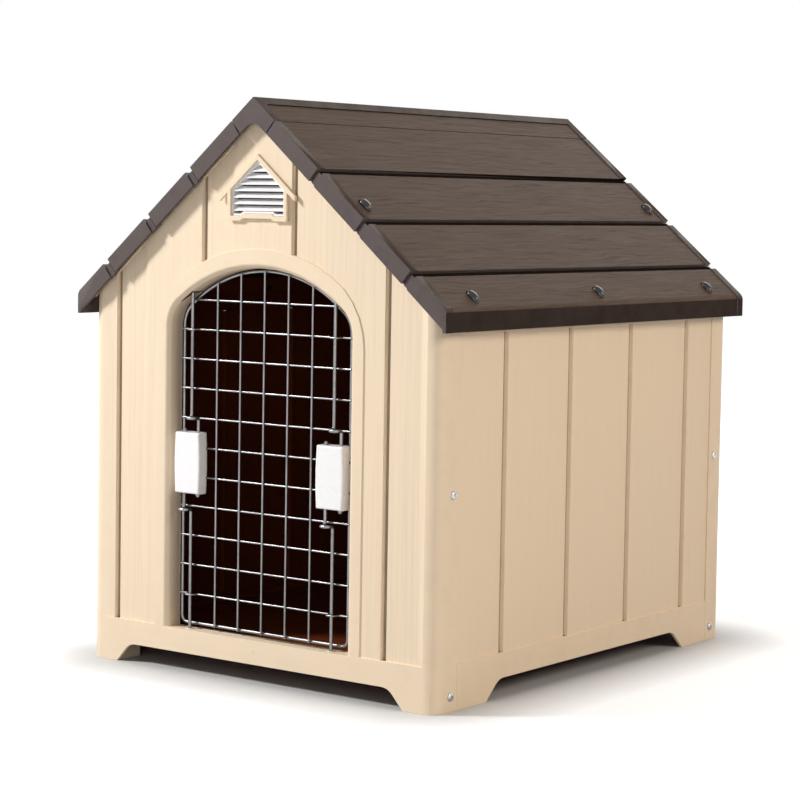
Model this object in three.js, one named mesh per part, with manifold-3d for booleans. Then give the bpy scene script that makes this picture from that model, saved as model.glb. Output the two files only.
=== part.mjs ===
// A moulded plastic kennel: four wall panels on corner feet, a floor tray, two lapped roof
// halves under a ridge cap, a gable vent, and a wire door held by four sprung rods.
// Millimetres, +Z up. The door faces -Y. The origin is on the ground under the middle.

import * as THREE from 'three';
import { mergeVertices } from 'three/addons/utils/BufferGeometryUtils.js';
import Module from 'manifold-3d';

const wasm = await Module();
wasm.setup();

// ---- fits and common sizes ----
const gap = 0.3; // between pieces that touch
const wall = 4; // moulded wall thickness
const far = 1000; // longer than the kennel, for cutters that run right through

// ---- body ----
const bodyWidth = 510;
const bodyDepth = 625;
const cornerRadius = 17;
const cornerReturn = 40.4; // how far an end panel wraps round onto the side
const lapReach = 22; // side wall's tongue under that return
const fieldBottom = 51; // top of the plain base band
const fieldTop = 409; // where a side wall's planks stop, under the eave
const endBorder = 28.6; // plain border beside the planks of an end panel

// ---- planks ----
const plankPitch = 132.3;
const stripWidth = 43.5; // narrow board beside each groove
const grooveWidth = 6.5;
const boardDepth = 1.5; // wide board below the border
const stripDepth = 3.5;
const grooveDepth = 6;
const boardEdge = 0.8; // width of the little step between two boards
const endFirstGroove = 41.3; // first groove of an end panel, from the body's left side
const sideFirstGroove = 128; // first groove of a side wall, from the front

// ---- feet ----
const footWidthEnd = 43;
const footWidthSide = 97.5;
const footHeight = 22.5;
const footSlantEnd = 20;
const footSlantSide = 24.5;
const footFillet = 9;

// ---- roof ----
const roofPitch = 40.1; // degrees
const eaveHeight = 437; // bend between slope and eave skirt
const eaveSkirt = 25;
const eaveOverhang = 14.5;
const rakeOverhang = 11;
const eaveBend = 12; // radius of the bend
const roofSkin = 4.5;
const fieldRecess = 1.3; // grained field below its smooth end strips
const endStrip = 13;
const capReach = 40.5; // ridge cap, down each slope
const capJoint = 1.5; // open joint below the cap
const capRidgeStrip = 12; // raised strip along the ridge
const capSkin = 5.2;
const capUnderRadius = 17;
const firstLap = 122; // lower edge of the first full row, down the slope
const lapPitch = 84;
const lapGap = 2.5; // deep slot under a lower edge
const lapGapDepth = 7;
const lapRebate = 9.5; // slot and step together
const lapRebateDepth = 3.5;
const lastRowLeast = 40;
const lapSkin = 4; // skin left under the slot
const lapBridge = 4; // thicker skin on each side of the slot
const skirtRebate = 2.7; // step in the rake skirt at each lap
const skirtGap = 4.3; // its deep slot
const gableClear = 0.7; // between the roof's underside and the gable flange
const flangeWidthEnd = 27;
const flangeWidthSide = 30;

// ---- doorway ----
const doorHalf = 133;
const archRadius = 190;
const archShoulder = 38;
const archTop = 472.5;
const trimWidth = 19; // beside the opening
const trimCrown = 22; // over its top
const trimArchRadius = 211;
const trimShoulderRadius = 90;
const trimThickness = 7;
const sillHeight = 50;
const revealDepth = 24;
const lipChamfer = 4.5;

// ---- vent ----
const ventHalf = 43.5;
const ventTipHalf = 55;
const ventBottom = 525.5;
const ventApex = 600.6;
const ventRoofBar = 6.6; // height of the little roof's bars
const ventSideBar = 4.6;
const ventSill = 5.6;
const ventRise = 2.6; // the sill's middle stands higher
const ventRiseHalf = 21;
const ventRiseRun = 3.4; // and slants down to each side
const ventLap = 2.2; // the face stands over the collar, at the apex
const ventProud = 2.8;
const ventCollar = 8; // how far the frame's collar reaches in
const louvrePitch = 7.35;
const louvreThickness = 1.3;
const louvreDrop = 4.7;
const louvreStart = 1.7; // first slat's edge below the sill's top
const louvreRim = 2.2;

// ---- wire door ----
const doorAxisBack = 10; // rod axes behind the front plane
const rodIn = 18; // rod axes inside the frame wire
const rodRadius = 2;
const wireBack = 15; // horizontal wires behind the front plane
const wireRadius = 1.2;
const uprightRadius = 1.3;
const uprightPitch = 35;
const uprightsEachSide = 2;
const uprightWeld = 1.4; // how far an upright stands in front of the cross wires
const crossPitch = 34.3;
const crossTopDrop = 35.6; // first cross wire below the frame's crown
const crossCount = 11;
const frameRadius = 1.9;
const frameWeld = 2; // how far the frame wire stands behind the cross wires
const frameSideClear = 10; // opening to frame wire, at its axis
const frameTopClear = 3.5;
const frameSillClear = 6;
const frameArch = 170;
const frameShoulder = 30;
const frameCorner = 8;
const crossOver = 1.4; // cross wires past the frame wire
const guideRows = [1, 10]; // cross wires bent round the rods
const guideHalf = 4.6;
const guideRamp = 2.4;
const rodFit = 0.5; // clearance round a rod in a moulded hole

// ---- sprung rods and their latches ----
const rodGrip = 8; // how far a rod end stands in its hole
const sillSlotBack = 5.5; // shallow slots in the sill, behind the rods
const sillSlotWidth = 2.2;
const sillSlotDepth = 1.4;
const sillBridge = 20.5; // half the plain middle between them
const legOffset = 10.6;
const rodBend = 4;
const pullReach = 10; // the crank stands forward as a finger pull
const upperCrank = 297;
const lowerCrank = 190;
const latchMiddle = 244.5;
const latchHalfHeight = 35.5;
const latchHalf = 19.6; // at the bulge
const latchEndHalf = 18.4; // at top and bottom
const coverHalf = 15.8; // the cover sits inside the frame wire
const latchFront = 1; // front face behind the front plane
const latchBack = 21;
const latchRound = 2.5;
const latchWall = 2.4;
const nubRadius = 2.9;
const nubHeight = 2.6;
const collarHeight = 1.6;
const collarLift = 7.5; // collar past the latch's middle, away from its spring
const springTurns = 6;
const springWire = 0.4; // radius
const springFit = 0.5; // between rod and coil

// ---- fasteners ----
const screwHead = 5;
const screwDome = 2.6;
const screwShank = 2;
const screwLength = 13;
const screwInset = 28.7; // from the front or back plane
const screwHeights = [17, 236];
const lockLength = 20;
const lockWidth = 11;
const lockHeight = 6.4;
const lockShank = 2.8;
const lockBar = 12;
const lockBarThickness = 2.5;
const lockUpperBack = 22; // up the slope from the second lap
const lockUpperEdge = 14.5; // from the end panel's plane
const lockLowerBack = 18.3; // up the slope from the eave
const lockLowerSpread = 255;

// ---- floor ----
const ledgeHeight = 30;
const ledgeReach = 16;
const floorRim = 7;

// ---- worked out ----
const halfW = bodyWidth / 2;
const frontY = -bodyDepth / 2;
const pitch = THREE.MathUtils.degToRad(roofPitch);
const eaveX = halfW + eaveOverhang;
const ridgeZ = eaveHeight + eaveX * Math.tan(pitch);
const slopeLength = eaveX / Math.cos(pitch);
const eaveBottom = eaveHeight - eaveSkirt;
const rakeDepth = (ridgeZ - eaveBottom) * Math.cos(pitch) - eaveX * Math.sin(pitch);
const roofEndY = bodyDepth / 2 + rakeOverhang;
const flangeTop = lapGapDepth + lapSkin + gableClear;
const rodY = frontY + doorAxisBack;
const wireY = frontY + wireBack;
const frameHalf = doorHalf - frameSideClear;
const frameTop = archTop - frameTopClear;
const frameBottom = sillHeight + frameSillClear;
const crossTop = frameTop - crossTopDrop;
const rodHalf = frameHalf - rodIn;
const latchX = [-rodHalf, rodHalf];
const coilOut = rodRadius + springFit + 2 * springWire; // coil and collar radius
const trayLow = ledgeHeight + wall + gap;

const laps = [];
for (let s = firstLap; s < slopeLength - lastRowLeast; s += lapPitch) laps.push(s);

const beige = new THREE.Color(0.87, 0.76, 0.6);
const finish = {
  beige: { color: beige, roughness: 0.55 },
  sand: { color: new THREE.Color(0.72, 0.58, 0.43), roughness: 0.6 },
  brown: { color: new THREE.Color(0.13, 0.1, 0.085), roughness: 0.5 },
  white: { color: new THREE.Color(0.93, 0.93, 0.93), roughness: 0.35 },
  steel: { color: new THREE.Color(0.6, 0.6, 0.6), roughness: 0.35, metalness: 1 },
  black: { color: new THREE.Color(0.03, 0.025, 0.025), roughness: 0.2 },
};

const kennel = new THREE.Group();

// ---- from geometry to solid and back ----
function solid(geometry) {
  geometry.deleteAttribute('normal');
  geometry.deleteAttribute('uv');
  const merged = mergeVertices(geometry, 1e-4);
  return new wasm.Manifold(new wasm.Mesh({
    numProp: 3,
    vertProperties: new Float32Array(merged.attributes.position.array),
    triVerts: new Uint32Array(merged.index.array),
  }));
}

function geometryOf(body) {
  const mesh = body.getMesh();
  const geometry = new THREE.BufferGeometry();
  geometry.setAttribute('position', new THREE.BufferAttribute(mesh.vertProperties, 3));
  geometry.setIndex(new THREE.BufferAttribute(mesh.triVerts, 1));
  geometry.computeVertexNormals();
  return geometry;
}

function addPiece(name, body, look) {
  const mesh = new THREE.Mesh(geometryOf(body), new THREE.MeshStandardMaterial(look));
  mesh.name = name;
  kennel.add(mesh);
  return mesh;
}

function join(bodies) {
  return bodies.reduce((whole, body) => whole.add(body));
}

function cut(body, tools) {
  return tools.reduce((rest, tool) => rest.subtract(tool), body);
}

// ---- outlines ----
function outline(points) {
  return new THREE.Shape(points.map(([x, y]) => new THREE.Vector2(x, y)));
}

function arcPoints(cx, cy, radius, from, to, steps) {
  return Array.from({ length: steps + 1 }, (_, i) => {
    const angle = THREE.MathUtils.degToRad(from + ((to - from) * i) / steps);
    return [cx + radius * Math.cos(angle), cy + radius * Math.sin(angle)];
  });
}

const mirrorX = (points) => points.map(([x, y]) => [-x, y]).reverse();

// ---- extrusions along each axis ----
function extruded(shape, depth) {
  return new THREE.ExtrudeGeometry(shape, { depth, bevelEnabled: false, curveSegments: 10 });
}

function alongZ(points, low, high) {
  return solid(extruded(outline(points), high - low).translate(0, 0, low));
}

// points are (x, z)
function alongY(points, low, high) {
  const geometry = extruded(outline(points), high - low);
  return solid(geometry.rotateX(Math.PI / 2).translate(0, high, 0));
}

// points are (y, z)
function alongX(points, low, high) {
  const turn = new THREE.Matrix4().makeBasis(
    new THREE.Vector3(0, 1, 0), new THREE.Vector3(0, 0, 1), new THREE.Vector3(1, 0, 0));
  return solid(extruded(outline(points), high - low).applyMatrix4(turn).translate(low, 0, 0));
}

function block(x0, x1, y0, y1, z0, z1) {
  const geometry = new THREE.BoxGeometry(x1 - x0, y1 - y0, z1 - z0);
  return solid(geometry.translate((x0 + x1) / 2, (y0 + y1) / 2, (z0 + z1) / 2));
}

// a round bar from one point to another
function bar(from, to, radius, sides = 8) {
  const start = new THREE.Vector3(...from);
  const run = new THREE.Vector3(...to).sub(start);
  const geometry = new THREE.CylinderGeometry(radius, radius, run.length(), sides);
  const turn = new THREE.Quaternion().setFromUnitVectors(
    new THREE.Vector3(0, 1, 0), run.clone().normalize());
  geometry.applyQuaternion(turn);
  return solid(geometry.translate(...start.addScaledVector(run, 0.5).toArray()));
}

// ---- wire bent through given points ----
class WirePath extends THREE.Curve {
  constructor(points, closed = false) {
    super();
    this.points = closed ? [...points, points[0]] : points;
    this.closed = closed;
  }

  getPoint(t, target = new THREE.Vector3()) {
    const last = this.points.length - 1;
    const place = t * last;
    const i = Math.min(Math.floor(place + 1e-6), last - 1);
    return target.lerpVectors(this.points[i], this.points[i + 1], place - i);
  }

  getPointAt(u, target) {
    return this.getPoint(u, target);
  }

  getTangentAt(u, target = new THREE.Vector3()) {
    const last = this.points.length - 1;
    const i = Math.round(u * last);
    const before = this.points[i > 0 ? i - 1 : (this.closed ? last - 1 : 0)];
    const after = this.points[i < last ? i + 1 : (this.closed ? 1 : last)];
    const here = this.points[i];
    const into = here.clone().sub(before).normalize();
    const out = after.clone().sub(here).normalize();
    return target.copy(into.add(out)).normalize();
  }

  get steps() {
    return this.points.length - 1;
  }
}

function wire(points, radius, sides) {
  const path = new WirePath(points);
  const section = outline(arcPoints(0, 0, radius, 0, 360 * (1 - 1 / sides), sides - 1));
  return solid(new THREE.ExtrudeGeometry(section, { steps: path.steps, extrudePath: path }));
}

function wireLoop(points, radius, sides) {
  const path = new WirePath(points, true);
  return solid(new THREE.TubeGeometry(path, path.steps, radius, sides, true));
}

// rounds each inner corner of a run of points with a quadratic bend
function bent(points, radius, steps = 3) {
  const run = points.map((p) => new THREE.Vector3(...p));
  const smooth = [run[0]];
  for (let i = 1; i < run.length - 1; i += 1) {
    const into = run[i - 1].clone().sub(run[i]).setLength(radius).add(run[i]);
    const out = run[i + 1].clone().sub(run[i]).setLength(radius).add(run[i]);
    smooth.push(...new THREE.QuadraticBezierCurve3(into, run[i], out).getPoints(steps));
  }
  smooth.push(run[run.length - 1]);
  return smooth;
}

// ---- the roof's own directions: s down the right slope from the ridge, d below its plane ----
function onSlope(s, d) {
  return [
    s * Math.cos(pitch) - d * Math.sin(pitch),
    ridgeZ - s * Math.sin(pitch) - d * Math.cos(pitch),
  ];
}

const onMiddle = (d) => [0, ridgeZ - d / Math.cos(pitch)];

function aboveRoofPlane(d) {
  const right = onSlope(slopeLength * 2, d);
  return alongY([onMiddle(d), right, [right[0], far], [-right[0], far], [-right[0], right[1]]],
    -far, far);
}

// ---- boards and grooves, as a line of (distance along, depth) ----
function plankLine(start, end, firstGroove, side) {
  const line = [[start, boardDepth]];
  const half = grooveWidth / 2;
  for (let g = firstGroove; g < end - half; g += plankPitch) {
    const groove = [[g - half, 0], [g - half + 1, grooveDepth], [g + half - 1, grooveDepth],
      [g + half, 0]];
    groove[0][1] = side > 0 ? boardDepth : stripDepth;
    groove[3][1] = side > 0 ? stripDepth : boardDepth;
    const outer = g + side * stripWidth;
    if (side > 0) {
      line.push(...groove);
      if (outer < end - boardEdge) line.push([outer, stripDepth], [outer + boardEdge, boardDepth]);
      else line.push([end, stripDepth]);
    } else {
      line.push([outer - boardEdge, boardDepth], [outer, stripDepth], ...groove);
    }
  }
  if (line[line.length - 1][0] < end) line.push([end, boardDepth]);
  return line;
}

// ---- an end panel: face, rounded corners and returns ----
function endBand(planks) {
  const back = frontY + cornerReturn;
  const centre = [halfW - cornerRadius, frontY + cornerRadius];
  const rightCorner = (radius) => arcPoints(...centre, radius, 0, -90, 5);
  const face = planks ? planks.map(([u, d]) => [u, frontY + d]).reverse() : [];
  const outer = [[halfW, back], ...rightCorner(cornerRadius), ...face,
    ...mirrorX(rightCorner(cornerRadius)), [-halfW, back]];
  const inside = face.map(([x, y]) => [x, y + wall]);
  const inner = [[halfW - wall, back], ...rightCorner(cornerRadius - wall), ...inside,
    ...mirrorX(rightCorner(cornerRadius - wall)), [wall - halfW, back]];
  return [...outer, ...inner.reverse()];
}

// the gap between two feet, as a cutter outline from the middle outwards
function footGap(half, slant) {
  const top = footHeight;
  const corner = new THREE.Vector2(half - slant, top);
  const foot = new THREE.Vector2(half, 0);
  const down = foot.clone().sub(corner).setLength(footFillet).add(corner);
  const bend = new THREE.QuadraticBezierCurve(
    new THREE.Vector2(corner.x - footFillet, top), corner, down).getPoints(4);
  const slope = foot.clone().sub(corner);
  const below = foot.clone().addScaledVector(slope, 0.2);
  const right = [below, ...bend.reverse()].map((p) => [p.x, p.y]);
  return [...right, ...mirrorX(right)];
}

function endPanel() {
  const start = -halfW + endBorder;
  const planks = plankLine(start, halfW - endBorder, -halfW + endFirstGroove, 1);
  const upper = alongZ(endBand(planks), fieldBottom, ridgeZ);
  const base = alongZ(endBand(null), 0, fieldBottom);
  const feet = [-1, 1].map((side) => {
    const inner = halfW - footWidthEnd;
    const outer = halfW - 2 * wall - 2 * gap;
    const x = [side * inner, side * outer].sort((a, b) => a - b);
    return block(x[0], x[1], frontY + wall / 2, frontY + cornerReturn, 0, footHeight);
  });
  const flangeLow = flangeTop + wall;
  const reach = halfW - wall / 2;
  const edge = (d) => [reach, onMiddle(d)[1] - reach * Math.tan(pitch)];
  const flange = alongY(
    [edge(flangeLow), edge(flangeTop), onMiddle(flangeTop), ...mirrorX([edge(flangeTop)]),
      ...mirrorX([edge(flangeLow)]), onMiddle(flangeLow)],
    frontY + wall / 2, frontY + flangeWidthEnd);
  const ledge = block(-halfW + footWidthEnd / 2, halfW - footWidthEnd / 2,
    frontY + wall / 2, frontY + ledgeReach, ledgeHeight, ledgeHeight + wall);
  const whole = join([upper, base, ...feet, flange, ledge]);
  const between = alongY(footGap(halfW - footWidthEnd, footSlantEnd), frontY - 1, frontY + wall);
  const screwHoles = screwHeights.map((z) => bar(
    [-far, frontY + screwInset, z], [far, frontY + screwInset, z], screwShank + gap, 10));
  return cut(whole, [between, aboveRoofPlane(flangeTop), ...screwHoles, ...lockSlots()]);
}

// ---- doorway outlines ----
function archPoints(half, top, radius, shoulder, bottom) {
  const centreZ = top - radius;
  const shoulderX = half - shoulder;
  const rise = Math.sqrt((radius - shoulder) ** 2 - shoulderX ** 2);
  const join = THREE.MathUtils.radToDeg(Math.atan2(rise, shoulderX));
  const right = [[half, bottom],
    ...arcPoints(shoulderX, centreZ + rise, shoulder, 0, join, 5),
    ...arcPoints(0, centreZ, radius, join, 90, 6).slice(1)];
  return [...right, ...mirrorX(right).slice(1)];
}

const openingPoints = (extra = 0) => archPoints(doorHalf + extra, archTop + extra,
  archRadius + extra, archShoulder + extra, sillHeight - extra);

// a cutter that widens the opening's front edge, and leaves the sill straight
function lipCutter() {
  const geometry = new THREE.ExtrudeGeometry(outline(openingPoints()), {
    depth: 0.01, bevelEnabled: true, bevelSegments: 1, bevelThickness: lipChamfer,
    bevelSize: lipChamfer,
  });
  const flare = solid(geometry.rotateX(Math.PI / 2).translate(0, frontY, 0));
  return flare.subtract(block(-far, far, -far, far, 0, sillHeight));
}

// a gabled outline with its roof parallel to the kennel's
function gableOutline(half, bottom, apex) {
  const eave = apex - half * Math.tan(pitch);
  return [[half, bottom], [half, eave], [0, apex], [-half, eave], [-half, bottom]];
}

// the vent's collar, and with a negative inset the hole it sits in
const ventCollarOutline = (inset) => gableOutline(ventHalf - inset,
  ventBottom + ventRise + inset, ventApex - ventLap - inset / Math.cos(pitch));

// the raised middle of the vent's sill, from left to right, at a height
function sillRise(bottom, inset) {
  const shift = inset * Math.tan(Math.atan2(ventRise, ventRiseRun) / 2);
  const right = [[ventRiseHalf + shift, bottom + ventRise],
    [ventRiseHalf + ventRiseRun + shift, bottom]];
  return [...mirrorX(right), ...right];
}

function frontPanel() {
  const trim = alongY(
    archPoints(doorHalf + trimWidth, archTop + trimCrown, trimArchRadius, trimShoulderRadius,
      fieldBottom - wall),
    frontY, frontY + trimThickness);
  const reveal = alongY(openingPoints(wall), frontY, frontY + revealDepth);
  const open = alongY(openingPoints(), frontY - 1, frontY + revealDepth + 1);
  const rodHoles = latchX.map((x) => bar(
    [x, rodY, ledgeHeight + wall], [x, rodY, archTop], rodRadius + rodFit, 12));
  const vent = alongY(ventCollarOutline(-gap), frontY - 1, frontY + ventCollar + wall);
  const slotY = rodY + sillSlotBack;
  const sillSlots = [-1, 1].map((side) => {
    const x = [side * sillBridge, side * (doorHalf - wall)].sort((a, b) => a - b);
    return block(x[0], x[1], slotY, slotY + sillSlotWidth, sillHeight - sillSlotDepth, archTop / 2);
  });
  return cut(join([endPanel(), trim, reveal]),
    [open, lipCutter(), vent, ...rodHoles, ...sillSlots]);
}

// ---- side wall: the right one; the left one is the same moulding turned round ----
function sideWall() {
  const half = bodyDepth / 2 - cornerReturn - gap;
  const planks = plankLine(-half, half, frontY + sideFirstGroove, -1);
  const band = (line) => [
    ...line.map(([u, d]) => [halfW - d, u]),
    ...line.map(([u, d]) => [halfW - wall - d, u]).reverse(),
  ];
  const plain = [[-half, 0], [half, 0]];
  const lap = wall + gap;
  const tongue = (side) => {
    const y = [side * (half - wall), side * (half + lapReach)].sort((a, b) => a - b);
    return block(halfW - lap - wall, halfW - lap, y[0], y[1], 0, ridgeZ);
  };
  const joggle = (side) => {
    const y = [side * (half - 2 * wall), side * half].sort((a, b) => a - b);
    return block(halfW - lap - wall, halfW - wall / 2, y[0], y[1], 0, ridgeZ);
  };
  const ledgeHalf = bodyDepth / 2 - footWidthEnd;
  const ledge = block(halfW - ledgeReach, halfW - wall / 2, -ledgeHalf, ledgeHalf,
    ledgeHeight, ledgeHeight + wall);
  const flangeStart = (halfW + flangeTop * Math.sin(pitch)) / Math.cos(pitch);
  const flange = alongY(
    [onSlope(flangeStart + wall, flangeTop), onSlope(flangeStart - flangeWidthSide, flangeTop),
      onSlope(flangeStart - flangeWidthSide, flangeTop + wall),
      onSlope(flangeStart + wall, flangeTop + wall)], -half, half)
    .subtract(block(halfW, far, -far, far, 0, far));
  const whole = join([
    alongZ(band(planks), fieldBottom, fieldTop),
    alongZ(band(plain), 0, fieldBottom),
    alongZ(band(plain), fieldTop, ridgeZ),
    tongue(-1), tongue(1), joggle(-1), joggle(1), ledge, flange,
  ]);
  const between = alongX(footGap(bodyDepth / 2 - footWidthSide, footSlantSide), 0, far);
  const endFlanges = [-1, 1].map((side) => {
    const y = [side * (bodyDepth / 2 - flangeWidthEnd - gap), side * far].sort((a, b) => a - b);
    return block(0, far, y[0], y[1], onSlope(flangeStart, flangeTop + wall)[1] - wall, far);
  });
  const screwHoles = screwHeights.flatMap((z) => [-1, 1].map((side) => {
    const y = side * (bodyDepth / 2 - screwInset);
    return bar([0, y, z], [far, y, z], screwShank + gap, 10);
  }));
  return cut(whole,
    [between, aboveRoofPlane(flangeTop), ...endFlanges, ...screwHoles, ...lockSlots()]);
}

// ---- roof ----
// outer line from under the ridge cap to the eave, then back along the inside
function roofSection() {
  const under = capSkin + gap;
  const outer = [onSlope(capRidgeStrip, under), onSlope(capReach + capJoint, under),
    onSlope(capReach + capJoint, 0)];
  const inner = [onSlope(capRidgeStrip, under + lapSkin),
    onSlope(capReach + capJoint + lapSkin, under + lapSkin),
    onSlope(capReach + capJoint + lapSkin, roofSkin)];
  for (const s of laps) {
    const step = s + lapGap;
    const next = s + lapRebate;
    outer.push(onSlope(s, 0), onSlope(s, lapGapDepth), onSlope(step, lapGapDepth),
      onSlope(step, lapRebateDepth), onSlope(next, lapRebateDepth), onSlope(next, 0));
    inner.push(onSlope(s - lapBridge, roofSkin), onSlope(s - lapBridge, lapGapDepth + lapSkin),
      onSlope(step + lapBridge, lapGapDepth + lapSkin),
      onSlope(step + lapBridge, lapRebateDepth + lapSkin),
      onSlope(next + lapBridge, lapRebateDepth + lapSkin), onSlope(next + lapBridge, roofSkin));
  }
  outer.push(...eaveArc(0));
  outer.push([eaveX, eaveBottom], [eaveX - roofSkin, eaveBottom]);
  inner.push(...eaveArc(roofSkin));
  return [...outer, ...inner.reverse()];
}

// the bend between slope and eave skirt, at a depth below the outside
function eaveArc(depth) {
  const setBack = eaveBend * Math.tan((Math.PI / 2 - pitch) / 2);
  const centre = onSlope(slopeLength - setBack, eaveBend);
  const from = 90 - roofPitch;
  return arcPoints(...centre, eaveBend - depth, from, 0, 4);
}

// the grained field of each row, cut below the end strips
function fieldCutters() {
  const edge = roofEndY - endStrip;
  const starts = [capReach + capJoint, ...laps.map((s) => s + lapRebate)];
  const rows = laps.map((end, i) => alongY(
    [onSlope(starts[i] - gap, -1), onSlope(end + gap, -1), onSlope(end + gap, fieldRecess),
      onSlope(starts[i] - gap, fieldRecess)], -edge, edge));
  const lastStart = starts[starts.length - 1] - gap;
  const last = alongY(
    [onSlope(lastStart, -1), onSlope(slopeLength, -eaveBend), [far, ridgeZ / 2], [far, 0],
      [eaveX - fieldRecess, 0], ...eaveArc(fieldRecess).reverse(),
      onSlope(lastStart, fieldRecess)], -edge, edge);
  return [...rows, last];
}

// skirt over the end panel's gable edge, stepped in at each lap
function rakeSkirt() {
  const start = capReach + capJoint;
  const low = onSlope(start, rakeDepth);
  const bottom = [eaveX, eaveBottom];
  const plate = alongY([low, onSlope(start, 0), ...eaveArc(0), bottom],
    -roofEndY, -roofEndY + wall);
  const backing = laps.map((s) => alongY(
    [onSlope(s - lapBridge, rakeDepth), onSlope(s - lapBridge, roofSkin / 2),
      onSlope(s + lapRebate + lapBridge, roofSkin / 2),
      onSlope(s + lapRebate + lapBridge, rakeDepth)],
    -roofEndY + wall / 2, -roofEndY + wall + skirtRebate));
  const open = wall + skirtRebate + 1;
  const tops = laps.flatMap((s) => [
    lapSlot(s, lapGap, lapGapDepth, open), lapSlot(s, lapRebate, lapRebateDepth, open)]);
  return cut(join([plate, ...backing]), [...tops, ...skirtSlots()]);
}

// a slot over a lap, down to a depth below the slope and in from the rake's face
function lapSlot(s, width, low, deep) {
  return alongY([onSlope(s, low), onSlope(s, -1), onSlope(s + width, -1),
    onSlope(s + width, low)], -roofEndY - 1, -roofEndY + deep);
}

// the step across the whole rake skirt at each lap
function skirtSlots() {
  return laps.flatMap((s) => [lapSlot(s, lapGap, rakeDepth + 1, skirtGap),
    lapSlot(s, lapRebate, rakeDepth + 1, skirtRebate)]);
}

function roofHalf() {
  const inner = roofEndY - wall - gap;
  const tuck = capReach + capJoint;
  const shell = alongY(roofSection(), -roofEndY, roofEndY);
  const clearCap = [-1, 1].map((side) => {
    const y = [side * inner, side * far].sort((a, b) => a - b);
    return alongY([onSlope(-tuck, -far), onSlope(tuck, -far), onSlope(tuck, far),
      onSlope(-tuck, far)], y[0], y[1]);
  });
  const skirt = rakeSkirt();
  const steps = skirtSlots().flatMap((slot) => [slot, slot.mirror([0, 1, 0])]);
  const body = join([cut(shell, [...clearCap, ...fieldCutters(), ...steps]), skirt,
    skirt.mirror([0, 1, 0])]);
  return cut(body, lockHoles());
}

// ---- ridge cap ----
function capSection(top, bottom) {
  const right = [onSlope(capReach, bottom), onSlope(capReach, top)];
  return [...right, onMiddle(top), ...mirrorX(right), onMiddle(bottom)];
}

function ridgeCap() {
  const cover = alongY(capSection(0, capSkin), -roofEndY, roofEndY);
  const middle = onMiddle(rakeDepth);
  const drop = capUnderRadius * (1 / Math.cos(pitch) - 1);
  const centre = [0, middle[1] - drop - capUnderRadius];
  const under = arcPoints(...centre, capUnderRadius, 90 - roofPitch, 90 + roofPitch, 6);
  const right = [onSlope(capReach, rakeDepth), onSlope(capReach, 0)];
  const skirtShape = [...right, onMiddle(0), ...mirrorX(right), ...under.reverse()];
  const skirts = [[-roofEndY, -roofEndY + wall], [roofEndY - wall, roofEndY]]
    .map(([low, high]) => alongY(skirtShape, low, high));
  const edge = roofEndY - endStrip;
  const fields = [1, -1].map((side) => {
    const shape = [onSlope(capRidgeStrip, -1), onSlope(capReach + 1, -1),
      onSlope(capReach + 1, fieldRecess), onSlope(capRidgeStrip, fieldRecess)];
    return alongY(side > 0 ? shape : mirrorX(shape), -edge, edge);
  });
  return cut(join([cover, ...skirts]), fields);
}

// ---- quarter-turn roof locks ----
function lockPlaces() {
  const upperY = bodyDepth / 2 - lockUpperEdge;
  return [
    ...[-upperY, upperY].map((y) => [laps[1] - lockUpperBack, y]),
    ...[-lockLowerSpread, 0, lockLowerSpread].map((y) => [slopeLength - lockLowerBack, y]),
  ];
}

// moves a geometry made about the origin, with +Z out of the roof, to its place on a slope
function placedOnSlope(body, s, y, side) {
  const [x, z] = onSlope(s, fieldRecess);
  const turn = new THREE.Matrix4().makeRotationY(pitch).setPosition(x, y, z);
  const placed = body.transform(turn.elements.slice());
  return side > 0 ? placed : placed.rotate([0, 0, 180]);
}

function lockShape() {
  const head = new THREE.SphereGeometry(1, 14, 8).rotateX(Math.PI / 2);
  head.scale(lockLength / 2, lockWidth / 2, lockHeight);
  const dome = solid(head).intersect(block(-far, far, -far, far, gap, far));
  const depth = flangeTop + wall - fieldRecess + gap;
  const shank = bar([0, 0, -depth - lockBarThickness / 2], [0, 0, gap * 2], lockShank, 10);
  const cross = block(-lockShank + gap, lockShank - gap, -lockBar / 2, lockBar / 2,
    -depth - lockBarThickness, -depth);
  return join([dome, shank, cross]);
}

// slots in the roof and in the flanges, which the fin covers when it is locked
const slotTool = () => block(-lockBar / 2 - rodFit, lockBar / 2 + rodFit,
  -lockShank - gap, lockShank + gap, -flangeTop - 2 * wall, flangeTop);

function lockHoles() {
  return lockPlaces().map(([s, y]) => placedOnSlope(slotTool(), s, y, 1));
}

// an end panel and its turned copy, and both side walls, take the same slots
function lockSlots() {
  return [1, -1].flatMap((side) => lockPlaces().map(([s, y]) => placedOnSlope(
    slotTool(), s, y, side)));
}

// ---- vent ----
// the vent's opening, or an outline standing in from it
function louvreOutline(inset) {
  const bottom = ventBottom + ventSill + inset;
  return [...gableOutline(ventHalf - ventSideBar - inset, bottom,
    ventApex - ventRoofBar - inset / Math.cos(pitch)), ...sillRise(bottom, inset)];
}

function ventFrame() {
  const tipZ = ventApex - ventTipHalf * Math.tan(pitch);
  const eaveZ = ventApex - ventRoofBar - ventHalf * Math.tan(pitch);
  const right = [[ventHalf, ventBottom], [ventHalf, eaveZ],
    [ventTipHalf, tipZ - ventRoofBar], [ventTipHalf, tipZ]];
  const face = [...right, [0, ventApex], ...mirrorX(right), ...sillRise(ventBottom, 0)];
  const front = frontY - ventProud;
  const collarFront = frontY + boardDepth - gap;
  const plate = alongY(face, front, collarFront);
  const collar = alongY(ventCollarOutline(0), collarFront - wall / 2, frontY + ventCollar);
  const opening = alongY(louvreOutline(0), front - 1, frontY + ventCollar + 1);
  return join([plate, collar]).subtract(opening);
}

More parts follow.
